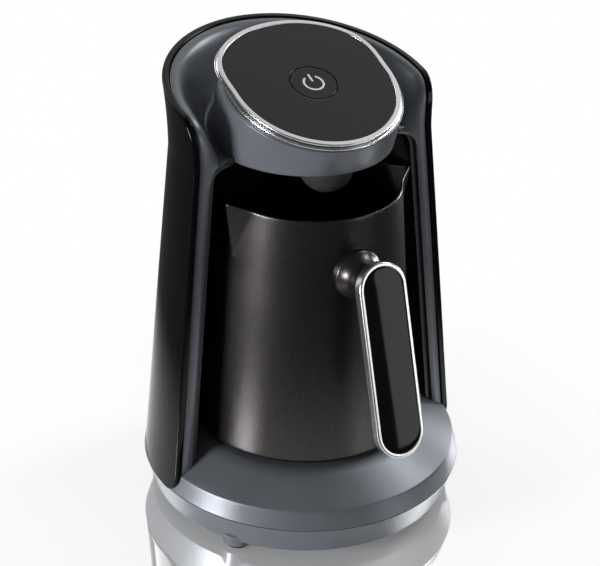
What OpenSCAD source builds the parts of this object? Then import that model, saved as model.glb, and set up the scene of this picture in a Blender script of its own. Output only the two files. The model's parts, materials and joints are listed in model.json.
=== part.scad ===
// Electric Turkish coffee maker: round base with a heating plate, a cape that wraps
// the back and sides, a tilted head with one button, and a pot that pulls out forwards.
// Millimetres, +Z up. The origin is on the table, at the centre of the footprint.

/* [Base] */
// Radius of the base at its parting line
base_r = 78; // [74:0.5:86]
// Height of the parting line above the table
parting_z = 20; // [18:0.5:24]
// Height of the flat underside of the base
underside_z = 6; // [5:0.5:8]
// How far the lower shell tapers in from the parting line to its underside
base_taper = 4.4; // [2:0.1:6]
// Height of the sloping flank between the parting line and the crease
flank_h = 9.2; // [6:0.1:10]
// How far the flank leans in
flank_in = 2.5; // [1:0.5:4]
// Height of the deck, where the pot stands, above the crease
deck_rise = 9.8; // [8:0.1:13]
// Radius of the flat part of the deck
deck_flat_r = 57; // [55:0.5:60]
// Wall of the base shells
base_wall = 2.5; // [2:0.1:3]

/* [Feet] */
// Distance of a foot's centre from the edge of the underside
foot_inset = 6.5; // [4:0.5:12]
// Direction of the feet from the base's side, in degrees
foot_angle = 35; // [30:1:60]
// Radius of a rubber foot
foot_r = 5.5; // [4:0.1:6]
// Depth of the pocket that holds a foot
foot_pocket = 3; // [2:0.1:4]

/* [Heating] */
// Radius of the heating plate
plate_r = 43.9; // [40:0.1:46]
// Thickness of the heating plate
plate_t = 3; // [2:0.1:4]
// Height of the plate's top above the deck
plate_proud = 2; // [1:0.1:3]
// Radius of the heating element's ring
element_ring_r = 25; // [18:0.5:29]
// Radius of the heating element's tube
element_tube_r = 3.3; // [2.5:0.1:4]

/* [Tower] */
// How far the cape stands proud of the base at the parting line
cape_overhang = 0.8; // [0:0.1:2]
// Outer radius of the cape at its waist
waist_r = 63.2; // [61:0.1:70]
// Height of the waist above the parting line
waist_h = 161; // [150:1:170]
// How much the cape flares from its waist to its rim
cape_flare = 2.9; // [0:0.1:6]
// Thickness of the cape
cape_t = 3.2; // [2.5:0.1:4]
// Thickness of the inner frame
frame_t = 5.5; // [4.5:0.1:7]
// Thickness of the niche liner
liner_t = 2.5; // [2:0.1:3]
// Backward lean of the tower, in degrees
tower_lean = 2.9; // [0:0.1:4]
// Distance of the wings' front edge from the tower's axis, at the parting line
wing_front = 16.4; // [12:0.2:22]
// Backward slope of the wings' front edge, as run over rise
wing_slope = 0.07; // [0:0.01:0.1]
// Height of the rim at the back, above the parting line
rim_h = 198.9; // [190:0.5:206]
// Slope of the rim, in degrees
rim_slope = 11.4; // [8:0.2:14]
// Radius of the rim's front corners
rim_corner = 14; // [8:1:18]
// Radius of the wings' bottom front corners
foot_corner = 8; // [4:1:10]
// Depth of the valley beside the head, below the rim
valley_depth = 18.5; // [14:0.5:20]

/* [Head] */
// Height of the head's top panel at its middle, above the table
panel_z = 211.6; // [208:0.2:216]
// Forward tilt of the head, in degrees
head_tilt = 19.5; // [15:0.5:22]
// Radius of the head
head_r = 42.6; // [41:0.1:44]
// Height of the head's flat underside above the table
head_bottom_z = 180.8; // [178:0.2:184]
// Wall of the head
head_wall = 2.5; // [2:0.1:3]
// Radius of the top panel at its sides
panel_r = 37.5; // [36:0.1:38.5]
// How much longer the panel is towards the front
panel_front = 2; // [0:0.1:2.5]
// How much wider the panel is at its back corners
panel_corner = 5.4; // [0:0.1:6]
// Thickness of the top panel
panel_t = 1.8; // [1.5:0.1:3]
// Width of the metal ring around the panel
ring_w = 3.4; // [2.5:0.1:4.5]

/* [Button] */
// Radius of the button
button_r = 10.9; // [8:0.1:12]
// Gap between the button and the panel
button_gap = 0.4; // [0.2:0.05:0.6]
// Travel of the button
button_travel = 1.2; // [0.8:0.1:1.6]
// Radius of the button's stem
button_stem_r = 2.5; // [2:0.1:3]

/* [Sensor] */
// Radius of the sensor's dome under the head
dome_r = 13; // [10:0.5:14]
// Gap between the dome and the pot's rim
dome_gap = 1.6; // [1:0.1:4]
// Distance of the dome in front of the pot's axis
dome_front = 14; // [8:0.5:15]

/* [Pot] */
// Radius of the pot at its bottom
pot_r = 53.8; // [48:0.2:54.5]
// Radius of the pot at its rim
pot_rim_r = 43; // [38:0.2:45]
// Height of the pot
pot_h = 121.7; // [100:0.5:124]
// Wall of the pot
pot_wall = 1.2; // [0.8:0.1:2]
// Thickness of the pot's bottom
pot_floor_t = 2.4; // [1.5:0.1:4]
// Reach of a spout beyond the rim
spout_reach = 6.7; // [4:0.1:7.5]
// Rise of a spout's tip above the rim
spout_rise = 2.3; // [1:0.1:4]
// How far the spouts turn from the pot's sides towards the front, in degrees
spout_turn = 11; // [0:1:20]
// Half of the angle that a spout takes out of the rim, in degrees
spout_half_angle = 14; // [10:1:18]

/* [Handle] */
// Height of the stem's axis above the pot's bottom
stem_h = 95; // [70:0.5:100]
// Radius of the stem at the pot
stem_root_r = 11.8; // [10:0.1:14]
// Radius of the stem at the grip
stem_neck_r = 8.3; // [6:0.1:9]
// Length of the flare at the stem's root
stem_flare = 8; // [5:0.5:10]
// Half of the grip's width
grip_half_w = 12; // [10.5:0.1:14]
// Length of the grip
grip_len = 90; // [75:0.5:95]
// Thickness of the grip
grip_t = 7.2; // [6:0.1:12]
// Lean of the grip, in degrees
grip_lean = 18.9; // [12:0.1:22]
// Distance of the grip's front face from the pot's axis, at mid length
grip_reach = 79.2; // [77:0.2:86]
// Height of the middle of the grip above the pot's bottom
grip_mid_h = 67; // [58:0.5:72]
// Width of the metal frame around the grip
grip_frame_w = 1.9; // [1.5:0.1:3]

/* [Power] */
// Length of the power board
board_l = 76; // [60:1:80]
// Width of the power board
board_w = 46; // [40:1:50]
// Radius of the cord's hole in the gland
cord_hole_r = 3; // [2.5:0.1:3.4]

/* [Hidden] */

$fn = 96;

// Clearances
fit = 0.05;         // running and press fits, on the radius
seat_gap = 0.15;    // between two fixed mouldings
screw_gap = 0.2;    // around a screw's shank, on the radius
head_gap = 0.3;     // around a screw's head, on the radius
bay_gap = 3.6;      // between the pot and the wall behind it
over = 1;           // how far a cut runs past what it cuts
far = 200;          // larger than the whole object
deep = 60;          // deeper than the head
blind = 2;          // what a blind hole leaves of its boss

// Common hardware: screws and their holes
screw_r = 1.5;
screw_head_r = 2.8;
screw_head_h = 1.8;
boss_r = 4;
small_screw_r = 1;
small_head_r = 1.9;
small_head_h = 1.3;
wire_r = 1.1;
pcb_t = 1.6;
round_fn = 32;

// Heights of the base, from the table up
crease_z = parting_z + flank_h;
crease_r = base_r - flank_in;
deck_z = crease_z + deck_rise;
plate_top_z = deck_z + plate_proud;
plate_z = plate_top_z - plate_t;
seal_t = 1.3;
ledge_z = plate_z - seal_t;
ledge_t = 2.5;
ledge_w = 4.5;
well_r = plate_r + 0.6;
well_wall = 2;
ledge_r = well_r - ledge_w;
floor_z = underside_z + base_wall;
base_bottom_r = base_r - base_taper;
skirt_t = 5.2;
skirt_r = base_r - skirt_t;

// Pot and handle
pot_z = plate_top_z;
pot_rim_z = pot_z + pot_h;
stem_z = pot_z + stem_h;
grip_mid_z = pot_z + grip_mid_h;

// Footprint: the origin lies midway between the grip's foot and the back of the base
grip_foot_y = -grip_reach - grip_len / 2 * sin(grip_lean);
axis_y = -(grip_foot_y + base_r) / 2;

// Tower
cape_r = base_r + cape_overhang;
tower_y = -2.3;     // the cape's circle lies this far in front of the base's
tower_low = -30;
tower_high = 225;
rim_over = 8;       // how far the flare runs on above the rim
rim_back_y = base_r - 4.7;
frame_r_in = cape_t + seat_gap;
liner_r_in = frame_r_in + frame_t + seat_gap;
ceiling_r = 9.5;

// Head, in its own tilted frame with the panel's top at zero
ring_h = panel_t + 1;
ring_step = 0.6;
ring_lip = 0.3;     // how far the ring stands out of the panel
ring_seat = 2;      // how far it reaches in under the panel
drum_top = -ring_h - ring_step;
button_flange_t = 1.1;
guide_floor = -panel_t - button_flange_t - 0.1 - button_travel - fit;
guide_t = 1.5;
stem_out = 1;       // how far the pressed stem stays clear of its guide's floor
stem_end = guide_floor - guide_t - button_travel - stem_out;
switch_h = 3.5;
plunger_out = 0.8;  // of the pressed plunger
switch_top = stem_end - button_travel - plunger_out;
board_top = switch_top - switch_h;
pcb_low = board_top - pcb_t;
board_edge = 9.6;
board_r = head_r - board_edge;
ceiling_z = head_bottom_z + liner_t;
frame_inset = 0.8;

// ---------- helpers ----------

module at_axis() {
    translate([0, axis_y, 0]) children();
}

module at_tower() {
    at_axis() translate([0, tower_y, parting_z]) rotate([-tower_lean, 0, 0]) children();
}

module at_head() {
    at_axis() translate([0, 0, panel_z]) rotate([head_tilt, 0, 0]) children();
}

module at_grip() {
    at_axis() translate([0, -grip_reach, grip_mid_z]) rotate([90 - grip_lean, 0, 0]) children();
}

// A solid of revolution whose outline is closed down to the axis
module turned(points) {
    rotate_extrude() polygon(points);
}

// A straight piece of cable in the plane x = 0, between two points given as [y, z]
module cable(a, b, r) {
    d = b - a;
    translate([0, a[0], a[1]]) rotate([-atan2(d[0], d[1]), 0, 0]) cylinder(r = r, h = norm(d), $fn = 24);
}

// A point of the head's middle plane, t along the panel and w out of it, as [y, z]
function head_point(t, w) = [
    t * cos(head_tilt) - w * sin(head_tilt),
    panel_z + t * sin(head_tilt) + w * cos(head_tilt)
];

function unit(v) = v / norm(v);

// Points of an arc that rounds the corner b between a and c with radius r
function corner_arc(a, b, c, r, n = 8) =
    let (
        u = unit(a - b),
        v = unit(c - b),
        half = acos(u * v) / 2,
        reach = r / tan(half),
        centre = b + unit(u + v) * r / sin(half),
        p = b + u * reach - centre,
        q = b + v * reach - centre,
        start = atan2(p[1], p[0]),
        turn = atan2(p[0] * q[1] - p[1] * q[0], p * q)
    )
    [for (i = [0:n]) centre + r * [cos(start + turn * i / n), sin(start + turn * i / n)]];

// ---------- tower shapes ----------

// Radius of the tower's outside at height h above the parting line
function tower_r(h) =
    h < waist_h
    ? cape_r + (waist_r - cape_r) * h / waist_h
    : waist_r + cape_flare * pow((h - waist_h) / (rim_h - waist_h), 2);

// The filled tower, inset from the outside by d
module tower_solid(d = 0) {
    flare = [for (i = [0:6]) waist_h + (rim_h + rim_over - waist_h) * i / 6];
    at_tower() turned(concat(
        [[0, tower_low], [tower_r(tower_low) - d, tower_low]],
        [for (h = flare) [tower_r(h) - d, h]],
        [[tower_r(rim_h + rim_over) - d, tower_high], [0, tower_high]]
    ));
}

function wing_y(z) = -wing_front + wing_slope * (z - parting_z);
function rim_z(y) = parting_z + rim_h - (rim_back_y - y) * tan(rim_slope);

// Side view of the tower: everything behind the wings' front edge and below the rim
module side_view(inset = 0) {
    front_top_y = wing_y(rim_z(wing_y(parting_z + rim_h))) + inset;
    front_low = [wing_y(parting_z) + inset, parting_z];
    front_top = [front_top_y, rim_z(front_top_y)];
    back_low = [far, parting_z];
    back_top = [far, rim_z(far)];
    at_axis() rotate([90, 0, 90]) linear_extrude(height = far, center = true) polygon(concat(
        [back_low, back_top],
        corner_arc(back_top, front_top, front_low, rim_corner),
        corner_arc(front_top, front_low, back_low, foot_corner)
    ));
}

// Filled outline of the upper base shell, grown upwards by g and reaching down by drop
module base_solid(drop = 0, g = 0) {
    at_axis() turned([
        [0, parting_z - drop],
        [base_r + g, parting_z - drop],
        [base_r + g, parting_z],
        [crease_r + g, crease_z + g],
        [deck_flat_r, deck_z + g],
        [0, deck_z + g]
    ]);
}

// The head's round body down to its flat underside, grown by g
module head_solid(g = 0, top = drum_top) {
    intersection() {
        drum_bore(head_r + g, top);
        above(head_bottom_z - g);
    }
}

module drum_bore(r, top) {
    at_head() translate([0, 0, -deep]) cylinder(r = r, h = deep + top);
}

module above(z) {
    translate([-far, -far, z]) cube([2 * far, 2 * far, 2 * far]);
}

module below(z) {
    translate([-far, -far, z - 2 * far]) cube([2 * far, 2 * far, 2 * far]);
}

// The space that the cape takes, with clearance g, for cutting its seat in the base
module cape_space(g = seat_gap) {
    intersection() {
        difference() {
            tower_solid(-4 * over);
            tower_solid(cape_t + g);
        }
        side_view(-g);
    }
}

// ---------- base ----------

module in_four_quarters(x, y) {
    for (i = [-1, 1], j = [-1, 1]) at_axis() translate([i * x, j * y, 0]) children();
}

foot_ring_r = base_bottom_r - foot_inset;
foot_stand = 3.8;    // how far a foot's boss stands out of the underside
foot_rim = 1.3;
foot_boss_z = underside_z - foot_stand;
module foot_places() {
    in_four_quarters(foot_ring_r * cos(foot_angle), foot_ring_r * sin(foot_angle)) children();
}

base_screw_inset = 12;
base_screw_r = skirt_r - base_screw_inset;
base_screw_y = 12;
screw_sink = 3;
module base_screw_places() {
    in_four_quarters(sqrt(pow(base_screw_r, 2) - pow(base_screw_y, 2)), base_screw_y) children();
}

board_y = -4;
board_stand = 5;
board_post_r = 3.2;
board_screw_inset = 4;
board_z = floor_z + board_stand;
module board_screw_places() {
    x = board_l / 2 - board_screw_inset;
    y = board_w / 2 - board_screw_inset;
    translate([0, board_y, 0]) in_four_quarters(x, y) children();
}

gland_wall = 1.5;
gland_flange_w = 1.2;
gland_boss_w = 3;
gland_r = cord_hole_r + gland_wall;
gland_flange_r = gland_r + gland_flange_w;
gland_z = floor_z + gland_flange_r + 0.1;
gland_end = base_r - 0.3;
gland_flange_t = 3;
gland_sink = 0.5;    // keeps the gland's boss inside the shell's outside
gland_clear = 1.9;   // between the gland and the harness
harness_r = 1.8;
harness_deck_y = pot_r + bay_gap + liner_t + harness_r + 0.3;    // it rises just behind the liner
gland_len = gland_end - harness_deck_y - harness_r - gland_clear;
boss_meet_z = parting_z - 5;    // where the two shells' screw bosses meet

module base_lower_shell() {
    color("slategray") difference() {
        union() {
            at_axis() turned([
                [0, underside_z], [base_bottom_r, underside_z], [base_r, parting_z],
                [base_r - base_wall, parting_z], [base_bottom_r - base_wall, floor_z], [0, floor_z]
            ]);
            foot_places() translate([0, 0, foot_boss_z]) {
                cylinder(r1 = foot_r + foot_rim, r2 = foot_r + 2 * foot_rim, h = floor_z - foot_boss_z);
            }
            base_screw_places() translate([0, 0, underside_z]) {
                cylinder(r = boss_r + 1, h = boss_meet_z - underside_z);
            }
            board_screw_places() translate([0, 0, underside_z]) {
                cylinder(r = board_post_r, h = board_z - underside_z);
            }
            gland_boss();
        }
        foot_places() translate([0, 0, foot_boss_z - over]) cylinder(r = foot_r + fit, h = foot_pocket + over);
        base_screw_places() cylinder(r = screw_r + screw_gap, h = parting_z);
        base_screw_places() cylinder(r = screw_head_r + head_gap, h = underside_z + screw_sink);
        board_screw_places() translate([0, 0, floor_z]) cylinder(r = small_screw_r + fit, h = parting_z);
        gland_axis() translate([0, 0, -over]) cylinder(r = gland_r + fit, h = base_r);
    }
}

// Frame of the gland, pointing from its outer end towards the middle of the base
module gland_axis() {
    at_axis() translate([0, gland_end, gland_z]) rotate([90, 0, 0]) children();
}

module gland_boss() {
    intersection() {
        gland_axis() cylinder(r = gland_r + gland_boss_w, h = gland_len - gland_flange_t);
        at_axis() turned([
            [0, underside_z], [base_bottom_r - gland_sink, underside_z],
            [base_r - gland_sink, parting_z], [0, parting_z]
        ]);
    }
}

// Two screws hold the frame's back, in the duct behind the bay wall
frame_screw_x = 18;
frame_screw_y = pot_r + bay_gap + liner_t + boss_r + 0.9;    // just clear of the liner
frame_screw_z = crease_z - 1.5;
frame_boss_h = 12;
frame_rib_t = 3;
module frame_screw_places() {
    for (s = [-1, 1]) at_axis() translate([s * frame_screw_x, frame_screw_y, 0]) children();
}

module base_upper_shell() {
    under_deck = deck_z - base_wall;
    color("slategray") difference() {
        union() {
            at_axis() rotate_extrude() polygon([
                [skirt_r, parting_z], [base_r, parting_z], [crease_r, crease_z], [deck_flat_r, deck_z],
                [well_r, deck_z], [well_r, ledge_z], [ledge_r, ledge_z], [ledge_r, ledge_z - ledge_t],
                [well_r + well_wall, ledge_z - ledge_t], [well_r + well_wall, under_deck],
                [deck_flat_r - 1, under_deck], [skirt_r, crease_z - base_wall]
            ]);
            intersection() {
                union() {
                    base_screw_places() translate([0, 0, boss_meet_z]) cylinder(r = boss_r, h = far);
                    frame_screw_places() translate([0, 0, frame_screw_z]) cylinder(r = boss_r, h = far);
                }
                base_solid(parting_z - boss_meet_z);
            }
        }
        cape_space();
        base_screw_places() cylinder(r = screw_r + fit, h = crease_z);
        frame_screw_places() cylinder(r = screw_r + screw_gap, h = far);
        harness_hole(1);
    }
}

module rubber_feet() {
    color("black") foot_places() cylinder(r = foot_r, h = foot_boss_z + foot_pocket);
}

// Screws with their head's seat at zero and their shank upwards
module screw(length) {
    translate([0, 0, -screw_head_h]) cylinder(r = screw_head_r, h = screw_head_h, $fn = round_fn);
    cylinder(r = screw_r, h = length, $fn = round_fn);
}

module small_screw(length) {
    translate([0, 0, -small_head_h]) cylinder(r = small_head_r, h = small_head_h, $fn = round_fn);
    cylinder(r = small_screw_r, h = length, $fn = round_fn);
}

module base_screws() {
    seat_z = underside_z + screw_sink;
    color("silver") base_screw_places() translate([0, 0, seat_z]) screw(crease_z - seat_z - 1);
}

module cord_gland() {
    color("black") gland_axis() difference() {
        union() {
            cylinder(r = gland_r, h = gland_len);
            translate([0, 0, gland_len - gland_flange_t]) cylinder(r = gland_flange_r, h = gland_flange_t);
        }
        translate([0, 0, -over]) cylinder(r = cord_hole_r, h = gland_len + 2 * over);
    }
}

// ---------- power electronics ----------

module power_board() {
    color("darkgreen") difference() {
        at_axis() translate([-board_l / 2, board_y - board_w / 2, board_z]) cube([board_l, board_w, pcb_t]);
        board_screw_places() cylinder(r = small_screw_r + fit, h = far);
    }
}

board_face_z = board_z + pcb_t;

module on_board(x, y) {
    at_axis() translate([x, board_y + y, board_face_z]) children();
}

relay_size = [19, 15, 11];
relay_margin = [9, 6];      // from the board's left and back edges
module board_relay() {
    y = board_w / 2 - relay_size[1] - relay_margin[1];
    color("royalblue") on_board(relay_margin[0] - board_l / 2, y) cube(relay_size);
}

capacitor_r = 6;
capacitor_h = 10;
capacitor_place = [16, 15]; // of its axis, from the board's right and front edges
module board_capacitor() {
    color("gold") on_board(board_l / 2 - capacitor_place[0], capacitor_place[1] - board_w / 2) {
        cylinder(r = capacitor_r, h = capacitor_h);
    }
}

terminal_size = [16, 10, 9];
terminal_x = 8;
terminal_margin = 1;        // from the board's back edge
module terminal_block() {
    y = board_w / 2 - terminal_size[1] - terminal_margin;
    color("green") on_board(terminal_x, y) cube(terminal_size);
}

module board_screws() {
    length = board_face_z - floor_z - 0.5;
    color("silver") board_screw_places() translate([0, 0, board_face_z]) mirror([0, 0, 1]) small_screw(length);
}

// ---------- heating ----------

stud_inset = 2.4;
stud_over = 0.5;     // how far a stud runs past its nut
stud_ring_r = ledge_r - stud_inset;
retainer_w = 3.5;
retainer_t = 1.5;
nut_h = 2.4;
nut_r = 3;
module stud_places() {
    for (a = [30, 150, 270]) at_axis() rotate([0, 0, a]) translate([stud_ring_r, 0, 0]) children();
}

retainer_z = ledge_z - ledge_t - retainer_t;

module heating_plate() {
    color("dimgray") {
        at_axis() translate([0, 0, plate_z]) cylinder(r = plate_r, h = plate_t);
        stud_places() translate([0, 0, retainer_z - nut_h - stud_over]) {
            cylinder(r = screw_r, h = plate_z - retainer_z + nut_h + stud_over + fit, $fn = round_fn);
        }
    }
}

module plate_seal() {
    in_r = ledge_r + 0.4;
    color("black") at_axis() rotate_extrude() polygon([
        [in_r, ledge_z], [well_r - fit, ledge_z], [well_r - fit, deck_z],
        [plate_r + fit, deck_z], [plate_r + fit, plate_z], [in_r, plate_z]
    ]);
}

module plate_retainer() {
    color("silver") difference() {
        at_axis() translate([0, 0, retainer_z]) cylinder(r = well_r + 1.5, h = retainer_t);
        at_axis() translate([0, 0, retainer_z - over]) {
            cylinder(r = stud_ring_r - retainer_w, h = retainer_t + 2 * over);
        }
        stud_places() cylinder(r = screw_r + fit, h = far);
    }
}

module plate_nuts() {
    color("silver") stud_places() translate([0, 0, retainer_z - nut_h]) difference() {
        cylinder(r = nut_r, h = nut_h, $fn = 6);
        translate([0, 0, -over]) cylinder(r = screw_r + fit, h = nut_h + 2 * over);
    }
}

element_gap = 60;    // the angle that the ring leaves open towards the front
weld = 0.9;          // share of a round part's radius at which the plate's face cuts it
element_z = plate_z - element_tube_r * weld;
pin_r = 1.5;
pin_len = 3;
pin_turn = 7;
pin_low_z = element_z - element_tube_r - pin_len;

module pin_places() {
    for (s = [-1, 1]) {
        at_axis() rotate([0, 0, -90 + s * (element_gap / 2 + pin_turn)]) translate([element_ring_r, 0, 0]) {
            children();
        }
    }
}

module heating_element() {
    color("gray") {
        difference() {
            at_axis() rotate([0, 0, -90 + element_gap / 2]) rotate_extrude(angle = 360 - element_gap) {
                translate([element_ring_r, element_z]) circle(r = element_tube_r, $fn = round_fn);
            }
            above(plate_z);
        }
        pin_places() translate([0, 0, pin_low_z]) cylinder(r = pin_r, h = element_z - pin_low_z, $fn = 24);
    }
}

sensor_h = 5;
sensor_r = 5;
module plate_sensor() {
    color("silver") at_axis() translate([0, 0, plate_z - sensor_h]) cylinder(r = sensor_r, h = sensor_h);
}

fuse_r = 2;
fuse_len = 16;
fuse_y = 12;
module thermal_fuse() {
    color("white") difference() {
        at_axis() translate([-fuse_len / 2, fuse_y, plate_z - fuse_r * weld]) rotate([0, 90, 0]) {
            cylinder(r = fuse_r, h = fuse_len, $fn = round_fn);
        }
        above(plate_z);
    }
}

module heater_leads() {
    color("white") pin_places() translate([0, 0, board_face_z]) {
        cylinder(r = wire_r, h = pin_low_z - board_face_z, $fn = 24);
    }
}

// ---------- tower ----------

module outer_cape() {
    color("black") intersection() {
        difference() {
            tower_solid();
            tower_solid(cape_t);
        }
        side_view();
    }
}

// The bowl cut into the collar around the head, grown by g
rim_mid_y = tower_y + (rim_h * tan(tower_lean));
valley_w = 2.9;
bowl_low_r = head_r + valley_w;
collar_lip = 1.6;
collar_skin = 3;
module valley_bowl(g = 0) {
    bowl_top_r = tower_r(rim_h) - frame_r_in - collar_lip;
    at_axis() translate([0, rim_mid_y, rim_z(rim_mid_y)]) rotate([rim_slope, 0, 0]) {
        translate([0, 0, -valley_depth - g]) {
            cylinder(r1 = bowl_low_r + g, r2 = bowl_top_r + g, h = valley_depth + g);
        }
        cylinder(r = bowl_top_r + g, h = deep);
    }
}

module inner_frame() {
    color("lightslategray") difference() {
        union() {
            difference() {
                intersection() {
                    tower_solid(frame_r_in);
                    side_view(frame_inset);
                }
                // the hollow that holds the liner
                intersection() {
                    tower_solid(frame_r_in + frame_t);
                    below(ceiling_z + seat_gap);
                }
                // the hollow under the collar's skin
                difference() {
                    intersection() {
                        tower_solid(frame_r_in + collar_skin);
                        side_view(frame_inset + collar_skin);
                        above(ceiling_z);
                    }
                    valley_bowl(collar_skin);
                    head_solid(collar_skin, deep);
                }
            }
            frame_screw_places() cylinder(r = boss_r, h = deck_z + frame_boss_h);
            // a rib from each boss to the frame's wall
            intersection() {
                frame_screw_places() translate([-frame_rib_t / 2, 0, 0]) {
                    cube([frame_rib_t, far, deck_z + frame_boss_h]);
                }
                tower_solid(frame_r_in + over);
            }
        }
        valley_bowl();
        head_solid(seat_gap, deep);
        base_solid(base_r, seat_gap);
        frame_screw_places() cylinder(r = screw_r + fit, h = deck_z + frame_boss_h - blind);
    }
}

// Everything in front of the bay's back wall, which leans with the pot's side
module in_front_of_bay_wall(d = 0) {
    slope = atan((pot_r - pot_rim_r) / pot_h);
    at_axis() translate([0, pot_r + bay_gap + d, pot_z]) rotate([slope, 0, 0]) {
        translate([-far, -2 * far, -far]) cube([2 * far, 2 * far, 2 * far]);
    }
}

liner_inset = 2.4;

// The bay itself, with a rounded ceiling
module bay_space() {
    top = head_bottom_z - parting_z;
    d = liner_r_in + liner_t;
    r = tower_r(top) - d;
    low_edge = [tower_r(tower_low) - d, tower_low];
    at_tower() turned(concat(
        [[0, tower_low], low_edge],
        corner_arc(low_edge, [r, top], [0, top], ceiling_r),
        [[0, top]]
    ));
}

module niche_liner() {
    color("#181818") difference() {
        intersection() {
            tower_solid(liner_r_in);
            side_view(liner_inset);
            below(ceiling_z);
            in_front_of_bay_wall(liner_t);
        }
        intersection() {
            bay_space();
            in_front_of_bay_wall();
        }
        head_solid(seat_gap);
        base_solid(base_r, seat_gap);
        harness_hole(3);
    }
}

module frame_screws() {
    length = deck_z + frame_boss_h - blind - 1 - frame_screw_z;
    color("silver") frame_screw_places() translate([0, 0, frame_screw_z]) screw(length);
}

cable_gap = 0.4;
// From the power board, up through the deck and the duct, into the head
harness_lift = harness_r + 0.2;
harness_plug = 6;    // how far from the board's back edge the harness starts
harness_route = [
    [board_y + board_w / 2 - harness_plug, board_face_z + harness_lift],
    [harness_deck_y, board_face_z + harness_lift],
    [harness_deck_y, deck_z + 6],
    [pot_rim_r + bay_gap + liner_t + harness_r + 1, head_bottom_z - 4],
    head_point(board_r - 4, pcb_low - harness_lift)
];

// The hole that one stretch of the harness needs
module harness_hole(i) {
    at_axis() cable(harness_route[i], harness_route[i + 1], harness_r + cable_gap);
}

module head_harness() {
    bend_r = harness_r + 0.15;
    color("dimgray") at_axis() {
        for (i = [0:len(harness_route) - 2]) cable(harness_route[i], harness_route[i + 1], harness_r);
        for (p = harness_route) translate([0, p[0], p[1]]) sphere(r = bend_r, $fn = 24);
    }
}

// ---------- head ----------

// Radius of the panel's outline at angle a: longer in front, widest at its back corners
corner_start = 0.02; // sine of the angle at which the panel starts to widen
corner_full = 0.7;   // and of the one at which it has its corner's full width
back_flat = 0.2;     // share of the corner's width that the middle of the back lacks
function panel_reach(a) =
    let (s = sin(a), t = max(0, min(1, (s - corner_start) / (corner_full - corner_start))))
    s < 0
    ? panel_r + panel_front * s * s
    : panel_r + panel_corner * t * t * (3 - 2 * t) * (1 - back_flat * pow(s, 6));

// Outline of the panel, grown by g
module panel_outline(g = 0) {
    polygon([for (i = [0:119]) (panel_reach(3 * i) + g) * [cos(3 * i), sin(3 * i)]]);
}

drum_in_r = head_r - head_wall;

control_inset = 2.5;
control_post_r = 2.4;
control_post_h = 30;
control_hole_h = 5;
control_r = board_r - control_inset;
module control_places() {
    for (a = [45:90:315]) at_head() rotate([0, 0, a]) translate([control_r, 0, 0]) children();
}

// Screws of the underside cover, around the middle of the flat underside
cover_y = head_point(0, (head_bottom_z - panel_z) / cos(head_tilt))[0];
cover_post_r = 3.4;
cover_post_h = 8;
cover_inset = 2.2;
cover_sink = small_head_h + 0.1;
module cover_screw_places() {
    for (a = [25, 155, 205, 335]) {
        at_axis() translate([0, cover_y, head_bottom_z]) rotate([0, 0, a]) {
            translate([drum_in_r - cover_inset, 0, 0]) children();
        }
    }
}

module head_drum() {
    color("lightslategray") difference() {
        union() {
            difference() {
                head_solid();
                drum_bore(drum_in_r, 0);
            }
            // the step under the metal ring
            at_head() translate([0, 0, drum_top - over]) difference() {
                cylinder(r = head_r - ring_step, h = ring_step + over);
                translate([0, 0, -over]) cylinder(r = drum_in_r, h = ring_step + 3 * over);
            }
            intersection() {
                union() {
                    control_places() translate([0, 0, pcb_low - control_post_h]) {
                        cylinder(r = control_post_r, h = control_post_h);
                        translate([0, -control_post_r / 2, 0]) {
                            cube([drum_in_r - control_r + over, control_post_r, control_post_h]);
                        }
                    }
                    cover_screw_places() cylinder(r = cover_post_r, h = liner_t + cover_post_h);
                }
                head_solid();
                above(ceiling_z);
            }
        }
        control_places() translate([0, 0, pcb_low - control_hole_h]) {
            cylinder(r = small_screw_r + fit, h = deep);
        }
        cover_screw_places() cylinder(r = small_screw_r + fit, h = liner_t + cover_post_h - 1);
    }
}

module dome_axis() {
    at_axis() translate([0, -dome_front, 0]) children();
}

module head_underside() {
    color("#181818") difference() {
        intersection() {
            drum_bore(drum_in_r - seat_gap, 0);
            above(head_bottom_z);
            below(ceiling_z);
        }
        dome_axis() cylinder(r = dome_r + seat_gap, h = far);
        cover_screw_places() cylinder(r = small_screw_r + seat_gap, h = far, center = true);
        cover_screw_places() translate([0, 0, -over]) {
            cylinder(r = small_head_r + screw_gap, h = cover_sink + over);
        }
        harness_hole(3);
    }
}

module cover_screws() {
    length = liner_t + cover_post_h - cover_sink - 2.6;
    color("silver") cover_screw_places() translate([0, 0, cover_sink]) small_screw(length);
}

dome_low_z = pot_rim_z + dome_gap;
dome_mid_z = dome_low_z + dome_r;
dome_wall = 1.5;
dome_flange_t = 1;
dome_flange_w = 1.6;
module sensor_dome() {
    color("#404040") dome_axis() difference() {
        union() {
            intersection() {
                translate([0, 0, dome_mid_z]) sphere(r = dome_r);
                translate([0, 0, dome_low_z]) cylinder(r = far, h = dome_r);
            }
            translate([0, 0, dome_mid_z]) cylinder(r = dome_r, h = ceiling_z - dome_mid_z);
            translate([0, 0, ceiling_z]) cylinder(r = dome_r + dome_flange_w, h = dome_flange_t);
        }
        translate([0, 0, dome_mid_z]) sphere(r = dome_r - dome_wall);
        translate([0, 0, dome_mid_z]) cylinder(r = dome_r - dome_wall, h = far);
    }
}

sensor_board_z = ceiling_z + dome_flange_t;
sensor_board_size = [2 * dome_r + 1, 10, 1.2];
module sensor_board() {
    corner = [-sensor_board_size[0] / 2, -sensor_board_size[1] / 2, sensor_board_z];
    color("darkgreen") dome_axis() translate(corner) cube(sensor_board_size);
}

can_r = 4.5;
can_gap = 5;         // between the can and the dome's bottom
module sensor_can() {
    can_h = sensor_board_z - dome_low_z - dome_wall - can_gap;
    color("silver") dome_axis() translate([0, 0, sensor_board_z - can_h]) cylinder(r = can_r, h = can_h);
}

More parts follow.
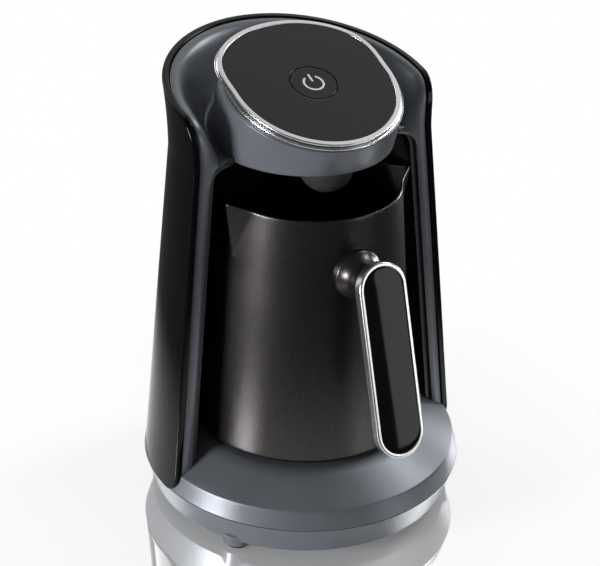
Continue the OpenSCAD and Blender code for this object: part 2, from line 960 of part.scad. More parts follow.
module chrome_ring() {
    color("silver") at_head() difference() {
        translate([0, 0, -ring_h]) linear_extrude(height = ring_h + ring_lip) panel_outline(ring_w);
        translate([0, 0, -panel_t - fit]) linear_extrude(height = far) panel_outline(fit);
        translate([0, 0, -ring_h - over]) linear_extrude(height = far) panel_outline(-ring_seat);
    }
}

module top_panel() {
    color("#201c1c") at_head() translate([0, 0, -panel_t]) difference() {
        linear_extrude(height = panel_t) panel_outline();
        translate([0, 0, -over]) cylinder(r = button_r + button_gap, h = panel_t + 2 * over);
    }
}

button_flange_r = button_r + 1.3;
guide_wall = 1.6;
module button_guide() {
    inside_r = button_flange_r + button_gap;
    low = guide_floor - guide_t;
    color("dimgray") at_head() difference() {
        translate([0, 0, low]) cylinder(r = inside_r + guide_wall, h = -panel_t - low);
        translate([0, 0, guide_floor]) cylinder(r = inside_r, h = far);
        translate([0, 0, low - over]) cylinder(r = button_stem_r + fit, h = far);
    }
}

module power_button() {
    flange_top = -panel_t - fit;
    color("#242020") at_head() {
        translate([0, 0, flange_top]) cylinder(r = button_r, h = -flange_top);
        translate([0, 0, flange_top - button_flange_t]) cylinder(r = button_flange_r, h = button_flange_t);
        translate([0, 0, stem_end]) cylinder(r = button_stem_r, h = flange_top - stem_end);
    }
}

plunger_r = 1.6;
plunger_in = 1.6;
plunger_gap = 0.3;   // below the pressed plunger
switch_w = 7;
module switch_plunger() {
    low = switch_top - plunger_in;
    color("white") at_head() translate([0, 0, low]) cylinder(r = plunger_r, h = stem_end - low);
}

module switch_body() {
    depth = plunger_in + button_travel + plunger_gap;
    color("black") at_head() difference() {
        translate([-switch_w / 2, -switch_w / 2, board_top]) cube([switch_w, switch_w, switch_h]);
        translate([0, 0, switch_top - depth]) cylinder(r = plunger_r + fit, h = far);
    }
}

module control_board() {
    color("darkgreen") difference() {
        at_head() translate([0, 0, pcb_low]) cylinder(r = board_r, h = pcb_t);
        control_places() translate([0, 0, pcb_low - over]) cylinder(r = small_screw_r + fit, h = deep);
    }
}

led_size = [3, 2, 1.2];
led_x = 5;
module indicator_led() {
    color("white") at_head() translate([led_x, -led_size[1] / 2, board_top]) cube(led_size);
}

buzzer_r = 6;
buzzer_h = 5;
buzzer_x = -18;
module buzzer() {
    color("black") at_head() translate([buzzer_x, 0, board_top]) cylinder(r = buzzer_r, h = buzzer_h);
}

module control_screws() {
    length = pcb_t + control_hole_h - 1;
    color("silver") control_places() translate([0, 0, board_top]) mirror([0, 0, 1]) small_screw(length);
}

// ---------- pot ----------

function pot_side_r(h) = pot_r + (pot_rim_r - pot_r) * h / pot_h;

// The pot's outside, filled
pot_edge = 2.5;
inner_edge = 1.5;
module pot_solid() {
    at_axis() translate([0, 0, pot_z]) turned([
        [0, 0], [pot_r - pot_edge, 0], [pot_r - pot_edge * 0.3, pot_edge * 0.3],
        [pot_side_r(pot_edge), pot_edge], [pot_rim_r, pot_h], [0, pot_h]
    ]);
}

// The pouring spout on the +X side, inset by d and stretched upwards by lift
spout_depth = 26;
bead = 0.8;
bead_fn = 24;
module spout(d = 0, lift = 0) {
    at_axis() translate([0, 0, pot_z]) rotate([0, 0, -spout_turn]) hull() {
        translate([pot_rim_r + spout_reach - bead - d, 0, pot_h + spout_rise - 1]) {
            cylinder(r = bead, h = 1 + lift, $fn = bead_fn);
        }
        for (s = [-1, 1]) rotate([0, 0, s * spout_half_angle]) {
            translate([pot_rim_r - bead - d, 0, pot_h - 1]) cylinder(r = bead, h = 1 + lift, $fn = bead_fn);
        }
        translate([pot_side_r(pot_h - spout_depth) - bead - d, 0, pot_h - spout_depth]) {
            cylinder(r = bead, h = 1, $fn = bead_fn);
        }
    }
}

module pot_body() {
    color("#3a3535") difference() {
        union() {
            pot_solid();
            spout();
            mirror([1, 0, 0]) spout();
        }
        at_axis() translate([0, 0, pot_z]) turned([
            [0, pot_floor_t], [pot_side_r(pot_floor_t) - pot_wall - inner_edge, pot_floor_t],
            [pot_side_r(pot_floor_t + inner_edge) - pot_wall, pot_floor_t + inner_edge],
            [pot_side_r(pot_h + over) - pot_wall, pot_h + over], [0, pot_h + over]
        ]);
        spout(pot_wall, 10);
        mirror([1, 0, 0]) spout(pot_wall, 10);
    }
}

// Frame of the stem, with its height running from the pot's axis towards the grip
module at_stem() {
    at_axis() translate([0, 0, stem_z]) rotate([90, 0, 0]) children();
}

stem_root_y = pot_side_r(stem_h);
grip_back_y = grip_reach - (grip_t + (stem_z - grip_mid_z) * sin(grip_lean)) / cos(grip_lean);
stem_sink = 4;       // how far the stem and its screw's hole reach past the pot's wall
stem_screw_y = stem_root_y + stem_sink;

module stadium(half_w, length) {
    reach = length / 2 - half_w;
    square([2 * half_w, 2 * reach], center = true);
    for (s = [-1, 1]) translate([0, s * reach]) circle(r = half_w);
}

module grip_slab(inset, low, high) {
    at_grip() translate([0, 0, low]) linear_extrude(height = high - low) {
        stadium(grip_half_w - inset, grip_len - 2 * inset);
    }
}

module handle_stem() {
    color("#3a3535") difference() {
        at_stem() {
            translate([0, 0, stem_root_y - stem_sink]) cylinder(r = stem_root_r, h = stem_sink + 0.01);
            translate([0, 0, stem_root_y]) cylinder(r1 = stem_root_r, r2 = stem_neck_r, h = stem_flare);
            cylinder(r = stem_neck_r, h = grip_reach);
        }
        pot_solid();
        at_grip() translate([-far / 2, -far / 2, -grip_t]) cube(far);
        at_stem() translate([0, 0, stem_screw_y]) cylinder(r = screw_r + fit, h = far);
    }
}

insert_t = 1.6;
core_t = 2.4;        // of the core's back plate
core_inset = 0.6;
core_step = grip_t - core_t;
screw_seat_y = grip_back_y + 3;
insert_lip = 0.4;
module handle_core() {
    color("#101010") difference() {
        union() {
            grip_slab(core_inset, -grip_t, -core_step);
            grip_slab(grip_frame_w + fit, -core_step - core_t / 2, -insert_t);
        }
        at_stem() cylinder(r = screw_r + screw_gap, h = far);
        at_stem() translate([0, 0, screw_seat_y]) cylinder(r = screw_head_r + head_gap, h = far);
    }
}

module handle_frame() {
    color("silver") difference() {
        grip_slab(0, -core_step, 0);
        grip_slab(grip_frame_w, -grip_t, over);
    }
}

module handle_insert() {
    color("#080808") grip_slab(grip_frame_w + fit, -insert_t, insert_lip);
}

module handle_screw() {
    length = screw_seat_y - stem_screw_y - 1;
    color("silver") at_stem() translate([0, 0, screw_seat_y]) mirror([0, 0, 1]) screw(length);
}

base_lower_shell();
base_upper_shell();
rubber_feet();
base_screws();
cord_gland();
power_board();
board_relay();
board_capacitor();
terminal_block();
board_screws();
heating_plate();
plate_seal();
plate_retainer();
plate_nuts();
heating_element();
plate_sensor();
thermal_fuse();
heater_leads();
outer_cape();
inner_frame();
niche_liner();
frame_screws();
head_harness();
head_drum();
head_underside();
sensor_dome();
sensor_board();
sensor_can();
cover_screws();
chrome_ring();
top_panel();
button_guide();
power_button();
switch_plunger();
switch_body();
control_board();
indicator_led();
buzzer();
control_screws();
pot_body();
handle_stem();
handle_core();
handle_frame();
handle_insert();
handle_screw();
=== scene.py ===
"""Looks of the electric Turkish coffee maker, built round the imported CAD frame.

The pieces are worked out in millimetres in the machine's own frame: +Z up, -Y towards the grip,
the pot's axis at x = y = 0. lay() turns them into metres in the frame of the CAD. The table, the
lamps and the camera are in metres from the start.
"""
import json
from math import acos, atan, atan2, comb, cos, hypot, pi, radians, sin, sqrt, tan

import bmesh
import bpy
import numpy as np
from mathutils import Matrix, Vector


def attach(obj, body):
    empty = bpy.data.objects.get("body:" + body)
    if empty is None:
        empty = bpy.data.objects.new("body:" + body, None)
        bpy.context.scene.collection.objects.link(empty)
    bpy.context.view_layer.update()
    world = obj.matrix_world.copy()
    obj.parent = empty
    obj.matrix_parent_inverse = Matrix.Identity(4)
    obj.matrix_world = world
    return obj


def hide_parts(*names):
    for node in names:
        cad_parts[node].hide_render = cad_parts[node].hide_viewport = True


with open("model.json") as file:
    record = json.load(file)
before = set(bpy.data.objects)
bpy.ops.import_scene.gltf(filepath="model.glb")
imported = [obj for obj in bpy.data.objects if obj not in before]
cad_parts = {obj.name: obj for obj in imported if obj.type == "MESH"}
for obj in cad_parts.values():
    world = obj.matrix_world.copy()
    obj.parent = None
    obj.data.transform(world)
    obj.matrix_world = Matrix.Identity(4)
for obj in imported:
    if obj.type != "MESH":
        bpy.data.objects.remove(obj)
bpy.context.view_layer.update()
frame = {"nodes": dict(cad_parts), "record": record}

scene = bpy.context.scene

MM = 0.001                      # a millimetre in metres

# ---------- sizes: the CAD's, and of details that it lacks ----------
AXIS_Y = 7.88814
BASE_R, PARTING_Z, PARTING_GAP = 78.0, 20.0, 0.1
FLANK_H, FLANK_IN, DECK_RISE, DECK_FLAT_R, BASE_WALL = 9.2, 2.5, 9.8, 57.0, 2.5
CREASE_Z, CREASE_R = PARTING_Z + FLANK_H, BASE_R - FLANK_IN
DECK_Z = CREASE_Z + DECK_RISE
FOOT_RING_R, FOOT_ANGLE, FOOT_R, FOOT_H = 67.1, radians(35), 5.5, 5.2
PLATE_R, PLATE_TOP_Z, PLATE_T = 43.9, 41.0, 3.0
PLATE_Z = PLATE_TOP_Z - PLATE_T
WELL_R = PLATE_R + 0.6
LEDGE_Z, LEDGE_T, LEDGE_R, SKIRT_R = PLATE_Z - 1.3, 2.5, 40.0, 72.8
SEAL_SETBACK, WELL_WALL, DECK_STEP = 0.4, 2.0, 1.0
CAPE_R, CAPE_T, WAIST_R, WAIST_H, CAPE_FLARE = 78.8, 3.2, 63.2, 161.0, 2.9
TOWER_Y, TOWER_LEAN = -2.3, radians(2.9)
RIM_H, RIM_SLOPE, RIM_BACK_Y = 198.9, radians(11.4), 73.3
WING_FRONT, WING_SLOPE, RIM_CORNER, FOOT_CORNER = 16.4, 0.07, 14.0, 8.0
PANEL_Z, HEAD_TILT, HEAD_R, HEAD_BOTTOM_Z, HEAD_WALL = 211.6, radians(19.5), 42.6, 180.8, 2.5
PANEL_R, PANEL_FRONT, PANEL_CORNER, PANEL_T = 37.5, 2.0, 5.4, 1.8
CORNER_START, CORNER_FULL, BACK_FLAT = 0.02, 0.7, 0.2
PANEL_ROLL, RING_W, RING_H, RING_STEP, RING_LIP = 0.25, 3.4, 2.8, 0.6, 0.3
BEZEL_W, GROOVE_G, GROOVE_TOP, GROOVE_LOW = 2.6, 2.2, -0.7, -1.7
DRUM_TOP = -RING_H - RING_STEP
BUTTON_R, BUTTON_GAP = 10.9, 0.4
BUTTON_FLANGE_R, BUTTON_FLANGE_T, BUTTON_STEM_R, STEM_END = 12.2, 1.1, 2.5, -7.95
DOME_R, DOME_LOW_Z, DOME_FRONT, DOME_WALL, CEILING_Z = 13.0, 164.3, 14.0, 1.5, 183.3
DOME_RIM_W, DOME_RIM_T = 1.6, 1.0
SIGN_R, SIGN_HALF_W, SIGN_GAP, SIGN_BAR, SIGN_LIFT, SIGN_T = 4.6, 0.5, radians(33), (1.0, 5.9), 0.02, 0.3
POT_R, POT_RIM_R, POT_H, POT_WALL, POT_FLOOR_T, POT_Z = 53.8, 43.0, 121.7, 1.2, 2.4, 41.0
SPOUT_REACH, SPOUT_RISE, SPOUT_TURN, SPOUT_HALF, SPOUT_DEPTH = 6.7, 2.3, radians(11), radians(14), 26.0
STEM_Z, STEM_ROOT_R, STEM_NECK_R, STEM_FLARE = POT_Z + 95.0, 11.8, 8.3, 8.0
STEM_SINK, STEM_COLLAR, STEM_EASE, STEM_END_IN = 0.5, 1.2, 2.2, 1.5
GRIP_HALF_W, GRIP_LEN, GRIP_T, GRIP_LEAN, GRIP_REACH = 12.0, 90.0, 7.2, radians(18.9), 79.2
GRIP_MID_Z, GRIP_FRAME_W, CORE_STEP, CORE_INSET = POT_Z + 67.0, 1.9, 4.8, 0.6
INSERT_T, INSERT_CROWN, FIT = 1.6, 0.4, 0.05

# Points round the turned pieces and the outlines.
TURN, PANEL_TURN, POT_TURN, GRIP_TURN = 192, 360, 448, 160
HOLE_TURN, BUTTON_TURN, SMALL_TURN, FOOT_TURN = 240, 128, 96, 48


# ---------- meshes ----------
MERGE_DISTANCE, WELD_DISTANCE, CRISP_ANGLE, NORMAL_WEIGHT = 2e-6, 1e-6, radians(32), 90


def lay(points):
    """Millimetres in the machine's frame to metres in the CAD's."""
    return (np.asarray(points, float) + (0, AXIS_Y, 0)) * MM


def smooth(t):
    """Ease from 0 to 1 as t goes from 0 to 1, level at both ends."""
    t = np.clip(t, 0, 1)
    return t * t * (3 - 2 * t)


def unit(v):
    """Vectors scaled to length 1 along their last axis."""
    return v / np.linalg.norm(v, axis=-1, keepdims=True)


def round_angles(count):
    """Angles of one full turn, without the last, which is the first again."""
    return np.linspace(0, 2 * pi, count, endpoint=False)


def walked(points):
    """Length walked along a line of points, from 0 at the first."""
    return np.concatenate([[0], np.cumsum(np.linalg.norm(np.diff(points, axis=0), axis=1))])


def neighbours(walk, reach):
    """Weights of all points of a line for each of them, exp(-(distance / reach) squared), each row's sum 1."""
    near = np.exp(-((walk[:, None] - walk) / reach) ** 2)
    return near / near.sum(1, keepdims=True)


def arc(centre, radius, angles):
    """Points of a plane circle at the angles."""
    return np.asarray(centre) + radius * np.stack([np.cos(angles), np.sin(angles)], 1)


def rounded(points, radii, closed=False, steps=5):
    """A polyline whose corners become arcs: each arc touches both sides at radius / tan(half the corner)."""
    p = np.asarray(points, float)
    radii = np.broadcast_to(radii, len(p))
    parts = []
    for i, r in enumerate(radii):
        if r == 0 or (not closed and i in (0, len(p) - 1)):
            parts.append(p[i:i + 1])
            continue
        b = p[i]
        u, v = unit(p[i - 1] - b), unit(p[(i + 1) % len(p)] - b)
        half = acos(u @ v) / 2
        centre = b + unit(u + v) * r / sin(half)
        s, e = b + u * r / tan(half) - centre, b + v * r / tan(half) - centre
        sweep = atan2(s[0] * e[1] - s[1] * e[0], s @ e)
        parts.append(arc(centre, r, atan2(s[1], s[0]) + sweep * np.linspace(0, 1, steps + 1)))
    return np.concatenate(parts)


def quarter(radius, count=6):
    """Steps (u, v) of an edge rolled by a quarter turn, from (radius, 0) to (0, radius)."""
    return [(radius * (1 - sin(a)), radius * (1 - cos(a))) for a in np.linspace(0, pi / 2, count)]


def around(r, a, z):
    """Points at radius r, angle a and height z."""
    return np.stack([r * np.cos(a), r * np.sin(a), z + 0 * a], -1)


def turned(profile, count=TURN):
    """Profile (radius, height) carried round the z axis."""
    return around(profile[:, :1], round_angles(count), profile[:, 1:])


def grid_faces(shape, wrap_rows, wrap_cols, start):
    """Quads that join each grid point to its next row and column."""
    ids = start + np.arange(shape[0] * shape[1]).reshape(shape)
    if wrap_rows:
        ids = np.vstack([ids, ids[:1]])
    if wrap_cols:
        ids = np.hstack([ids, ids[:, :1]])
    return np.stack([ids[:-1, :-1], ids[:-1, 1:], ids[1:, 1:], ids[1:, :-1]], -1).reshape(-1, 4)


def added(name, data):
    """A new object in the scene."""
    made = bpy.data.objects.new(name, data)
    scene.collection.objects.link(made)
    return made


def piece(name, grids, slot, replaces=(), body="machine", finish=None, evened=True):
    """One object from grids (points, wrap_rows, wrap_cols), its seams and poles merged, its faces outwards. Its
    finish is that of its slot unless another is named."""
    verts, faces, start = [], [], 0
    for points, wrap_rows, wrap_cols in grids:
        verts.append(lay(points).reshape(-1, 3))
        faces.append(grid_faces(points.shape[:2], wrap_rows, wrap_cols, start))
        start += len(verts[-1])
    mesh = bpy.data.meshes.new(name)
    mesh.from_pydata(np.concatenate(verts).tolist(), [], np.concatenate(faces).tolist())
    shape = bmesh.new()
    shape.from_mesh(mesh)
    bmesh.ops.remove_doubles(shape, verts=shape.verts, dist=MERGE_DISTANCE)
    bmesh.ops.recalc_face_normals(shape, faces=shape.faces)
    shape.to_mesh(mesh)
    shape.free()
    mesh.polygons.foreach_set("use_smooth", [True] * len(mesh.polygons))
    mesh.materials.append(FINISH[finish or slot])
    made = added(name, mesh)
    if evened:
        made.modifiers.new("even_normals", "WEIGHTED_NORMAL").weight = NORMAL_WEIGHT
    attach(made, body)
    if replaces:
        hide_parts(*replaces)


# ---------- frames of the parts ----------
def tilted(points, angle, y, z):
    """A part's own frame to the machine's: a turn about x by the angle, then a move to (0, y, z)."""
    x, v, w = np.moveaxis(np.asarray(points, float), -1, 0)
    c, s = cos(angle), sin(angle)
    return np.stack([x, y + v * c - w * s, z + v * s + w * c], -1)


def in_head(points):
    """The head's tilted frame to the machine's; its origin is the panel's middle."""
    return tilted(points, HEAD_TILT, 0, PANEL_Z)


def head_point(r, a, w):
    """Point of the head's frame at radius r, angle a and height w over the panel."""
    return in_head(around(r, a, w))


def in_grip(points):
    """The grip's frame (across, along, out) to the machine's."""
    return tilted(points, pi / 2 - GRIP_LEAN, -GRIP_REACH, GRIP_MID_Z)


def in_tower(theta, h, inset):
    """Point of the tower's outside, moved inwards by inset, at angle theta and height h of its leaning axis."""
    return tilted(around(tower_radius(h) - inset, theta, h), -TOWER_LEAN, TOWER_Y, PARTING_Z)


def tower_radius(h):
    """A cone up to the waist, then a flare that grows with the square of the height."""
    cone = CAPE_R + (WAIST_R - CAPE_R) * h / WAIST_H
    flare = WAIST_R + CAPE_FLARE * ((h - WAIST_H) / (RIM_H - WAIST_H)) ** 2
    return np.where(h < WAIST_H, cone, flare)


def panel_reach(a):
    """Radius of the panel at angle a: longer in front, eased out to wide corners at the back."""
    s = np.sin(a)
    t = np.clip((s - CORNER_START) / (CORNER_FULL - CORNER_START), 0, 1)
    corner = PANEL_CORNER * smooth(t) * (1 - BACK_FLAT * np.clip(s, 0, 1) ** 6)
    return PANEL_R + PANEL_FRONT * np.clip(-s, 0, 1) ** 2 + corner


# ---------- materials ----------
GRAIN_SCALE, PATCH_SCALE, FLAKE_SCALE, LINE_SCALE = 2600.0, 42.0, 5500.0, 1500.0
GRAIN_DEPTH, METAL_DEPTH, LINE_DEPTH, SLEEVE_DEPTH = 2e-5, 1e-5, 4e-5, 1e-4     # metres of bump
DULL_FLAKES = 0.62                                             # share of the flakes that stay dark
MASK_LOW, MASK_HIGH = 0.3, 0.7                                 # noise values that count as dark and as light


def group(name, *outputs):
    """A node group with one input, Fineness, and float outputs. With it come that input's value, the node of the
    outputs and the object's coordinates."""
    tree = bpy.data.node_groups.new(name, "ShaderNodeTree")
    tree.interface.new_socket("Fineness", in_out="INPUT", socket_type="NodeSocketFloat").default_value = 1.0
    for label in outputs:
        tree.interface.new_socket(label, in_out="OUTPUT", socket_type="NodeSocketFloat")
    source, sink = tree.nodes.new("NodeGroupInput"), tree.nodes.new("NodeGroupOutput")
    return tree, source.outputs["Fineness"], sink, node(tree, "TexCoord").outputs["Object"]


def node(tree, kind, **values):
    """A shader node with its properties set, and its inputs where a value names one with in_."""
    made = tree.nodes.new("ShaderNode" + kind)
    for key, value in values.items():
        if key.startswith("in_"):
            made.inputs[key[3:].replace("_", " ")].default_value = value
        else:
            setattr(made, key, value)
    return made


def joined(tree, *pairs):
    """Links, each from an output to an input."""
    for output, socket in pairs:
        tree.links.new(output, socket)


def times(tree, value, factor):
    """A value times a constant."""
    made = node(tree, "Math", operation="MULTIPLY")
    made.inputs[1].default_value = factor
    tree.links.new(value, made.inputs[0])
    return made.outputs[0]


def remapped(tree, value, low, high, to_low=0.0, to_high=1.0, curve="LINEAR"):
    """A value that goes from to_low to to_high as another goes from low to high, and stops at both."""
    span = node(tree, "MapRange", interpolation_type=curve)
    for label, limit in zip(("From Min", "From Max", "To Min", "To Max"), (low, high, to_low, to_high)):
        span.inputs[label].default_value = limit
    tree.links.new(value, span.inputs["Value"])
    return span.outputs[0]


def scaled_noise(tree, coords, scale, fineness, detail):
    """Noise whose scale is a group input times a constant."""
    noise = node(tree, "TexNoise", in_Detail=detail)
    joined(tree, (coords, noise.inputs["Vector"]), (times(tree, fineness, scale), noise.inputs["Scale"]))
    return noise.outputs[0]


def moulded_grain_group():
    """Fine spark-eroded grain of moulded plastic, and a slow patchiness for its gloss."""
    tree, fineness, sink, coords = group("moulded_grain", "Height", "Patches")
    joined(tree, (scaled_noise(tree, coords, GRAIN_SCALE, fineness, 4.0), sink.inputs["Height"]),
           (scaled_noise(tree, coords, PATCH_SCALE, fineness, 5.0), sink.inputs["Patches"]))
    return tree


def metal_flake_group():
    """Flakes in a metallic coat: small cells, each with its own brightness, a few of them bright."""
    tree, fineness, sink, coords = group("metal_flake", "Flakes")
    cells, split = node(tree, "TexVoronoi", feature="F1"), node(tree, "SeparateColor")
    joined(tree, (coords, cells.inputs["Vector"]), (times(tree, fineness, FLAKE_SCALE), cells.inputs["Scale"]),
           (cells.outputs["Color"], split.inputs[0]))
    tree.links.new(remapped(tree, split.outputs[0], DULL_FLAKES, 1.0, curve="SMOOTHSTEP"), sink.inputs["Flakes"])
    return tree


def turned_lines_group():
    """Fine rings left by turning, about the pot's axis: noise read along the radius alone."""
    tree, fineness, sink, coords = group("turned_lines", "Lines")
    centre = node(tree, "Mapping", in_Location=(0, -AXIS_Y * MM, 0))
    flat = node(tree, "VectorMath", operation="MULTIPLY")
    flat.inputs[1].default_value = (1, 1, 0)
    radius = node(tree, "VectorMath", operation="LENGTH")
    noise = node(tree, "TexNoise", noise_dimensions="1D", in_Detail=2.0)
    joined(tree, (coords, centre.inputs["Vector"]), (centre.outputs[0], flat.inputs[0]),
           (flat.outputs[0], radius.inputs[0]), (radius.outputs["Value"], noise.inputs["W"]),
           (times(tree, fineness, LINE_SCALE), noise.inputs["Scale"]), (noise.outputs[0], sink.inputs["Lines"]))
    return tree


GRAIN, FLAKE, LINES = moulded_grain_group(), metal_flake_group(), turned_lines_group()


def shader(name, **values):
    """A material, its tree and its Principled BSDF, with values set on the shader's sockets."""
    made = bpy.data.materials.new(name)
    made.use_nodes = True
    bsdf = made.node_tree.nodes["Principled BSDF"]
    for key, value in values.items():
        bsdf.inputs[key.replace("_", " ")].default_value = value
    return made, made.node_tree, bsdf


def placed(tree, shared, fineness=1.0):
    """One use of a shared group."""
    made = node(tree, "Group", node_tree=shared)
    made.inputs["Fineness"].default_value = fineness
    return made


def glossed(tree, bsdf, mask, low, high):
    """The roughness goes from low to high as a mask goes from dark to light."""
    tree.links.new(remapped(tree, mask, MASK_LOW, MASK_HIGH, low, high), bsdf.inputs["Roughness"])


def tinted(tree, bsdf, mask, dark, light):
    """The colour goes from dark to light as a mask does."""
    ramp = node(tree, "ValToRGB")
    for stop, position, colour in zip(ramp.color_ramp.elements, (MASK_LOW, MASK_HIGH), (dark, light)):
        stop.position, stop.color = position, (*colour, 1)
    joined(tree, (mask, ramp.inputs[0]), (ramp.outputs[0], bsdf.inputs["Base Color"]))


def bumped(tree, bsdf, height, strength, distance):
    """A height into the normal."""
    bump = node(tree, "Bump", in_Strength=strength, in_Distance=distance)
    joined(tree, (height, bump.inputs["Height"]), (bump.outputs[0], bsdf.inputs["Normal"]))


def moulded(name, dark, light, rough, fineness=1.0, bump=0.25, depth=GRAIN_DEPTH, **values):
    """Moulded plastic or rubber: patchy gloss, a fine grain and a slight drift of colour."""
    made, tree, bsdf = shader(name, **values)
    grain = placed(tree, GRAIN, fineness)
    tinted(tree, bsdf, grain.outputs["Patches"], dark, light)
    glossed(tree, bsdf, grain.outputs["Patches"], *rough)
    bumped(tree, bsdf, grain.outputs["Height"], bump, depth)
    return made


def metal(name, dark, light, rough, fineness=1.0, bump=0.1):
    """Bare or plated metal: a drift of colour and of roughness, with a fine grain."""
    return moulded(name, dark, light, rough, fineness, bump, METAL_DEPTH, Metallic=1.0)


def pot_coat():
    """Anthracite metallic coat: very fine flakes of low contrast, a satin gloss and a trace of relief."""
    made, tree, bsdf = shader("pot_metal", Metallic=0.9)
    flakes, grain = placed(tree, FLAKE), placed(tree, GRAIN, 0.8)
    tinted(tree, bsdf, flakes.outputs["Flakes"], (0.050, 0.046, 0.046), (0.086, 0.079, 0.078))
    glossed(tree, bsdf, grain.outputs["Patches"], 0.28, 0.32)
    bumped(tree, bsdf, flakes.outputs["Flakes"], 0.06, METAL_DEPTH)
    return made


def plate_coat():
    """Turned and coated metal of the heating plate: rings about the pot's axis."""
    made, tree, bsdf = shader("plate_metal", Metallic=0.6)
    lines = placed(tree, LINES).outputs["Lines"]
    tinted(tree, bsdf, lines, (0.030, 0.030, 0.032), (0.055, 0.055, 0.058))
    glossed(tree, bsdf, lines, 0.30, 0.42)
    bumped(tree, bsdf, lines, 0.35, LINE_DEPTH)
    return made


def smoke():
    """Smoked clear plastic: a grey-green tint and a frosted gloss, with light passing through it."""
    made, tree, bsdf = shader("dome_smoke", Transmission_Weight=0.6, IOR=1.46, Metallic=0.0)
    patches = placed(tree, GRAIN, 0.5).outputs["Patches"]
    tinted(tree, bsdf, patches, (0.070, 0.076, 0.073), (0.095, 0.102, 0.098))
    glossed(tree, bsdf, patches, 0.22, 0.28)
    return made


SLATE = (0.135, 0.146, 0.166), (0.15, 0.162, 0.184)
# Dark and light colour and the two ends of the roughness; fineness and bump follow where they aren't plain.
PLASTICS = {
    "base_grey": (*SLATE, (0.36, 0.42), 1.0, 0.2),
    "frame_grey": (*SLATE, (0.34, 0.4), 1.0, 0.2),
    "foot_rubber": ((0.012, 0.012, 0.012), (0.02, 0.02, 0.02), (0.7, 0.85), 0.6, 0.5),
    "gland_rubber": ((0.014, 0.014, 0.014), (0.022, 0.022, 0.022), (0.6, 0.75), 0.7, 0.4),
    "seal_silicone": ((0.01, 0.01, 0.011), (0.016, 0.016, 0.017), (0.5, 0.6), 0.8, 0.3),
    "liner_black": ((0.03, 0.028, 0.029), (0.038, 0.036, 0.037), (0.4, 0.5), 0.9, 0.35),
    "cape_gloss": ((0.0025, 0.0025, 0.003), (0.0032, 0.0032, 0.0038), (0.09, 0.13), 0.3, 0.02),
    "panel_gloss": ((0.02, 0.0145, 0.018), (0.023, 0.017, 0.021), (0.04, 0.06), 0.3, 0.01),
    "insert_gloss": ((0.003, 0.003, 0.0035), (0.004, 0.004, 0.0046), (0.05, 0.08), 0.3, 0.02),
    "grip_black": ((0.008, 0.008, 0.009), (0.012, 0.012, 0.013), (0.32, 0.42), 0.9, 0.3),
    "guide_plastic": ((0.02, 0.02, 0.022), (0.03, 0.03, 0.032), (0.4, 0.5)),
    "plunger_white": ((0.68, 0.68, 0.66), (0.75, 0.75, 0.73), (0.35, 0.45)),
    "symbol_white": ((0.86, 0.86, 0.86), (0.93, 0.93, 0.93), (0.4, 0.5)),
    "switch_black": ((0.01, 0.01, 0.01), (0.02, 0.02, 0.02), (0.4, 0.5)),
    "board_green": ((0.01, 0.075, 0.03), (0.016, 0.105, 0.045), (0.25, 0.35), 2.0, 0.2),
    "relay_blue": ((0.012, 0.05, 0.22), (0.02, 0.07, 0.3), (0.3, 0.4)),
    "terminal_green": ((0.015, 0.16, 0.05), (0.02, 0.22, 0.07), (0.35, 0.45)),
    "capacitor_sleeve": ((0.01, 0.01, 0.014), (0.016, 0.016, 0.022), (0.2, 0.3)),
    "fuse_ceramic": ((0.68, 0.66, 0.6), (0.78, 0.76, 0.7), (0.3, 0.4)),
    "led_white": ((0.75, 0.75, 0.68), (0.85, 0.85, 0.76), (0.2, 0.3)),
    "wire_sleeve": ((0.55, 0.53, 0.46), (0.75, 0.72, 0.64), (0.7, 0.85), 0.4, 0.8, SLEEVE_DEPTH),
    "harness_black": ((0.01, 0.01, 0.011), (0.018, 0.018, 0.019), (0.5, 0.6)),
}
METALS = {
    "screw_steel": ((0.5, 0.5, 0.52), (0.62, 0.62, 0.64), (0.25, 0.4)),
    "sensor_metal": ((0.55, 0.55, 0.56), (0.68, 0.68, 0.69), (0.25, 0.35)),
    "element_metal": ((0.28, 0.22, 0.16), (0.42, 0.38, 0.32), (0.35, 0.5), 0.5),
    "bright_chrome": ((0.74, 0.74, 0.75), (0.8, 0.8, 0.81), (0.23, 0.29), 0.3, 0.004),
}
SOCKETS = {
    "base_grey": {"Metallic": 0.5}, "frame_grey": {"Metallic": 0.5}, "cape_gloss": {"Specular_IOR_Level": 0.16},
    "panel_gloss": {"Specular_IOR_Level": 0.28}, "insert_gloss": {"Specular_IOR_Level": 0.26},
}
FINISH = {name: moulded(name, *row, **SOCKETS.get(name, {})) for name, row in PLASTICS.items()}
FINISH |= {name: metal(name, *row) for name, row in METALS.items()}
FINISH |= {"plate_metal": plate_coat(), "pot_metal": pot_coat(), "dome_smoke": smoke()}

# ---------- CAD nodes that stay ----------
SLOT_OF = {s["node"]: s["material_slot"] for s in frame["record"]["subparts"]}
for name, part in frame["nodes"].items():
    part.data.materials.clear()
    part.data.materials.append(FINISH[SLOT_OF[name]])
    part.data.polygons.foreach_set("use_smooth", [True] * len(part.data.polygons))
    part.modifiers.new("weld", "WELD").merge_threshold = WELD_DISTANCE
    part.modifiers.new("crisp_edges", "EDGE_SPLIT").split_angle = CRISP_ANGLE


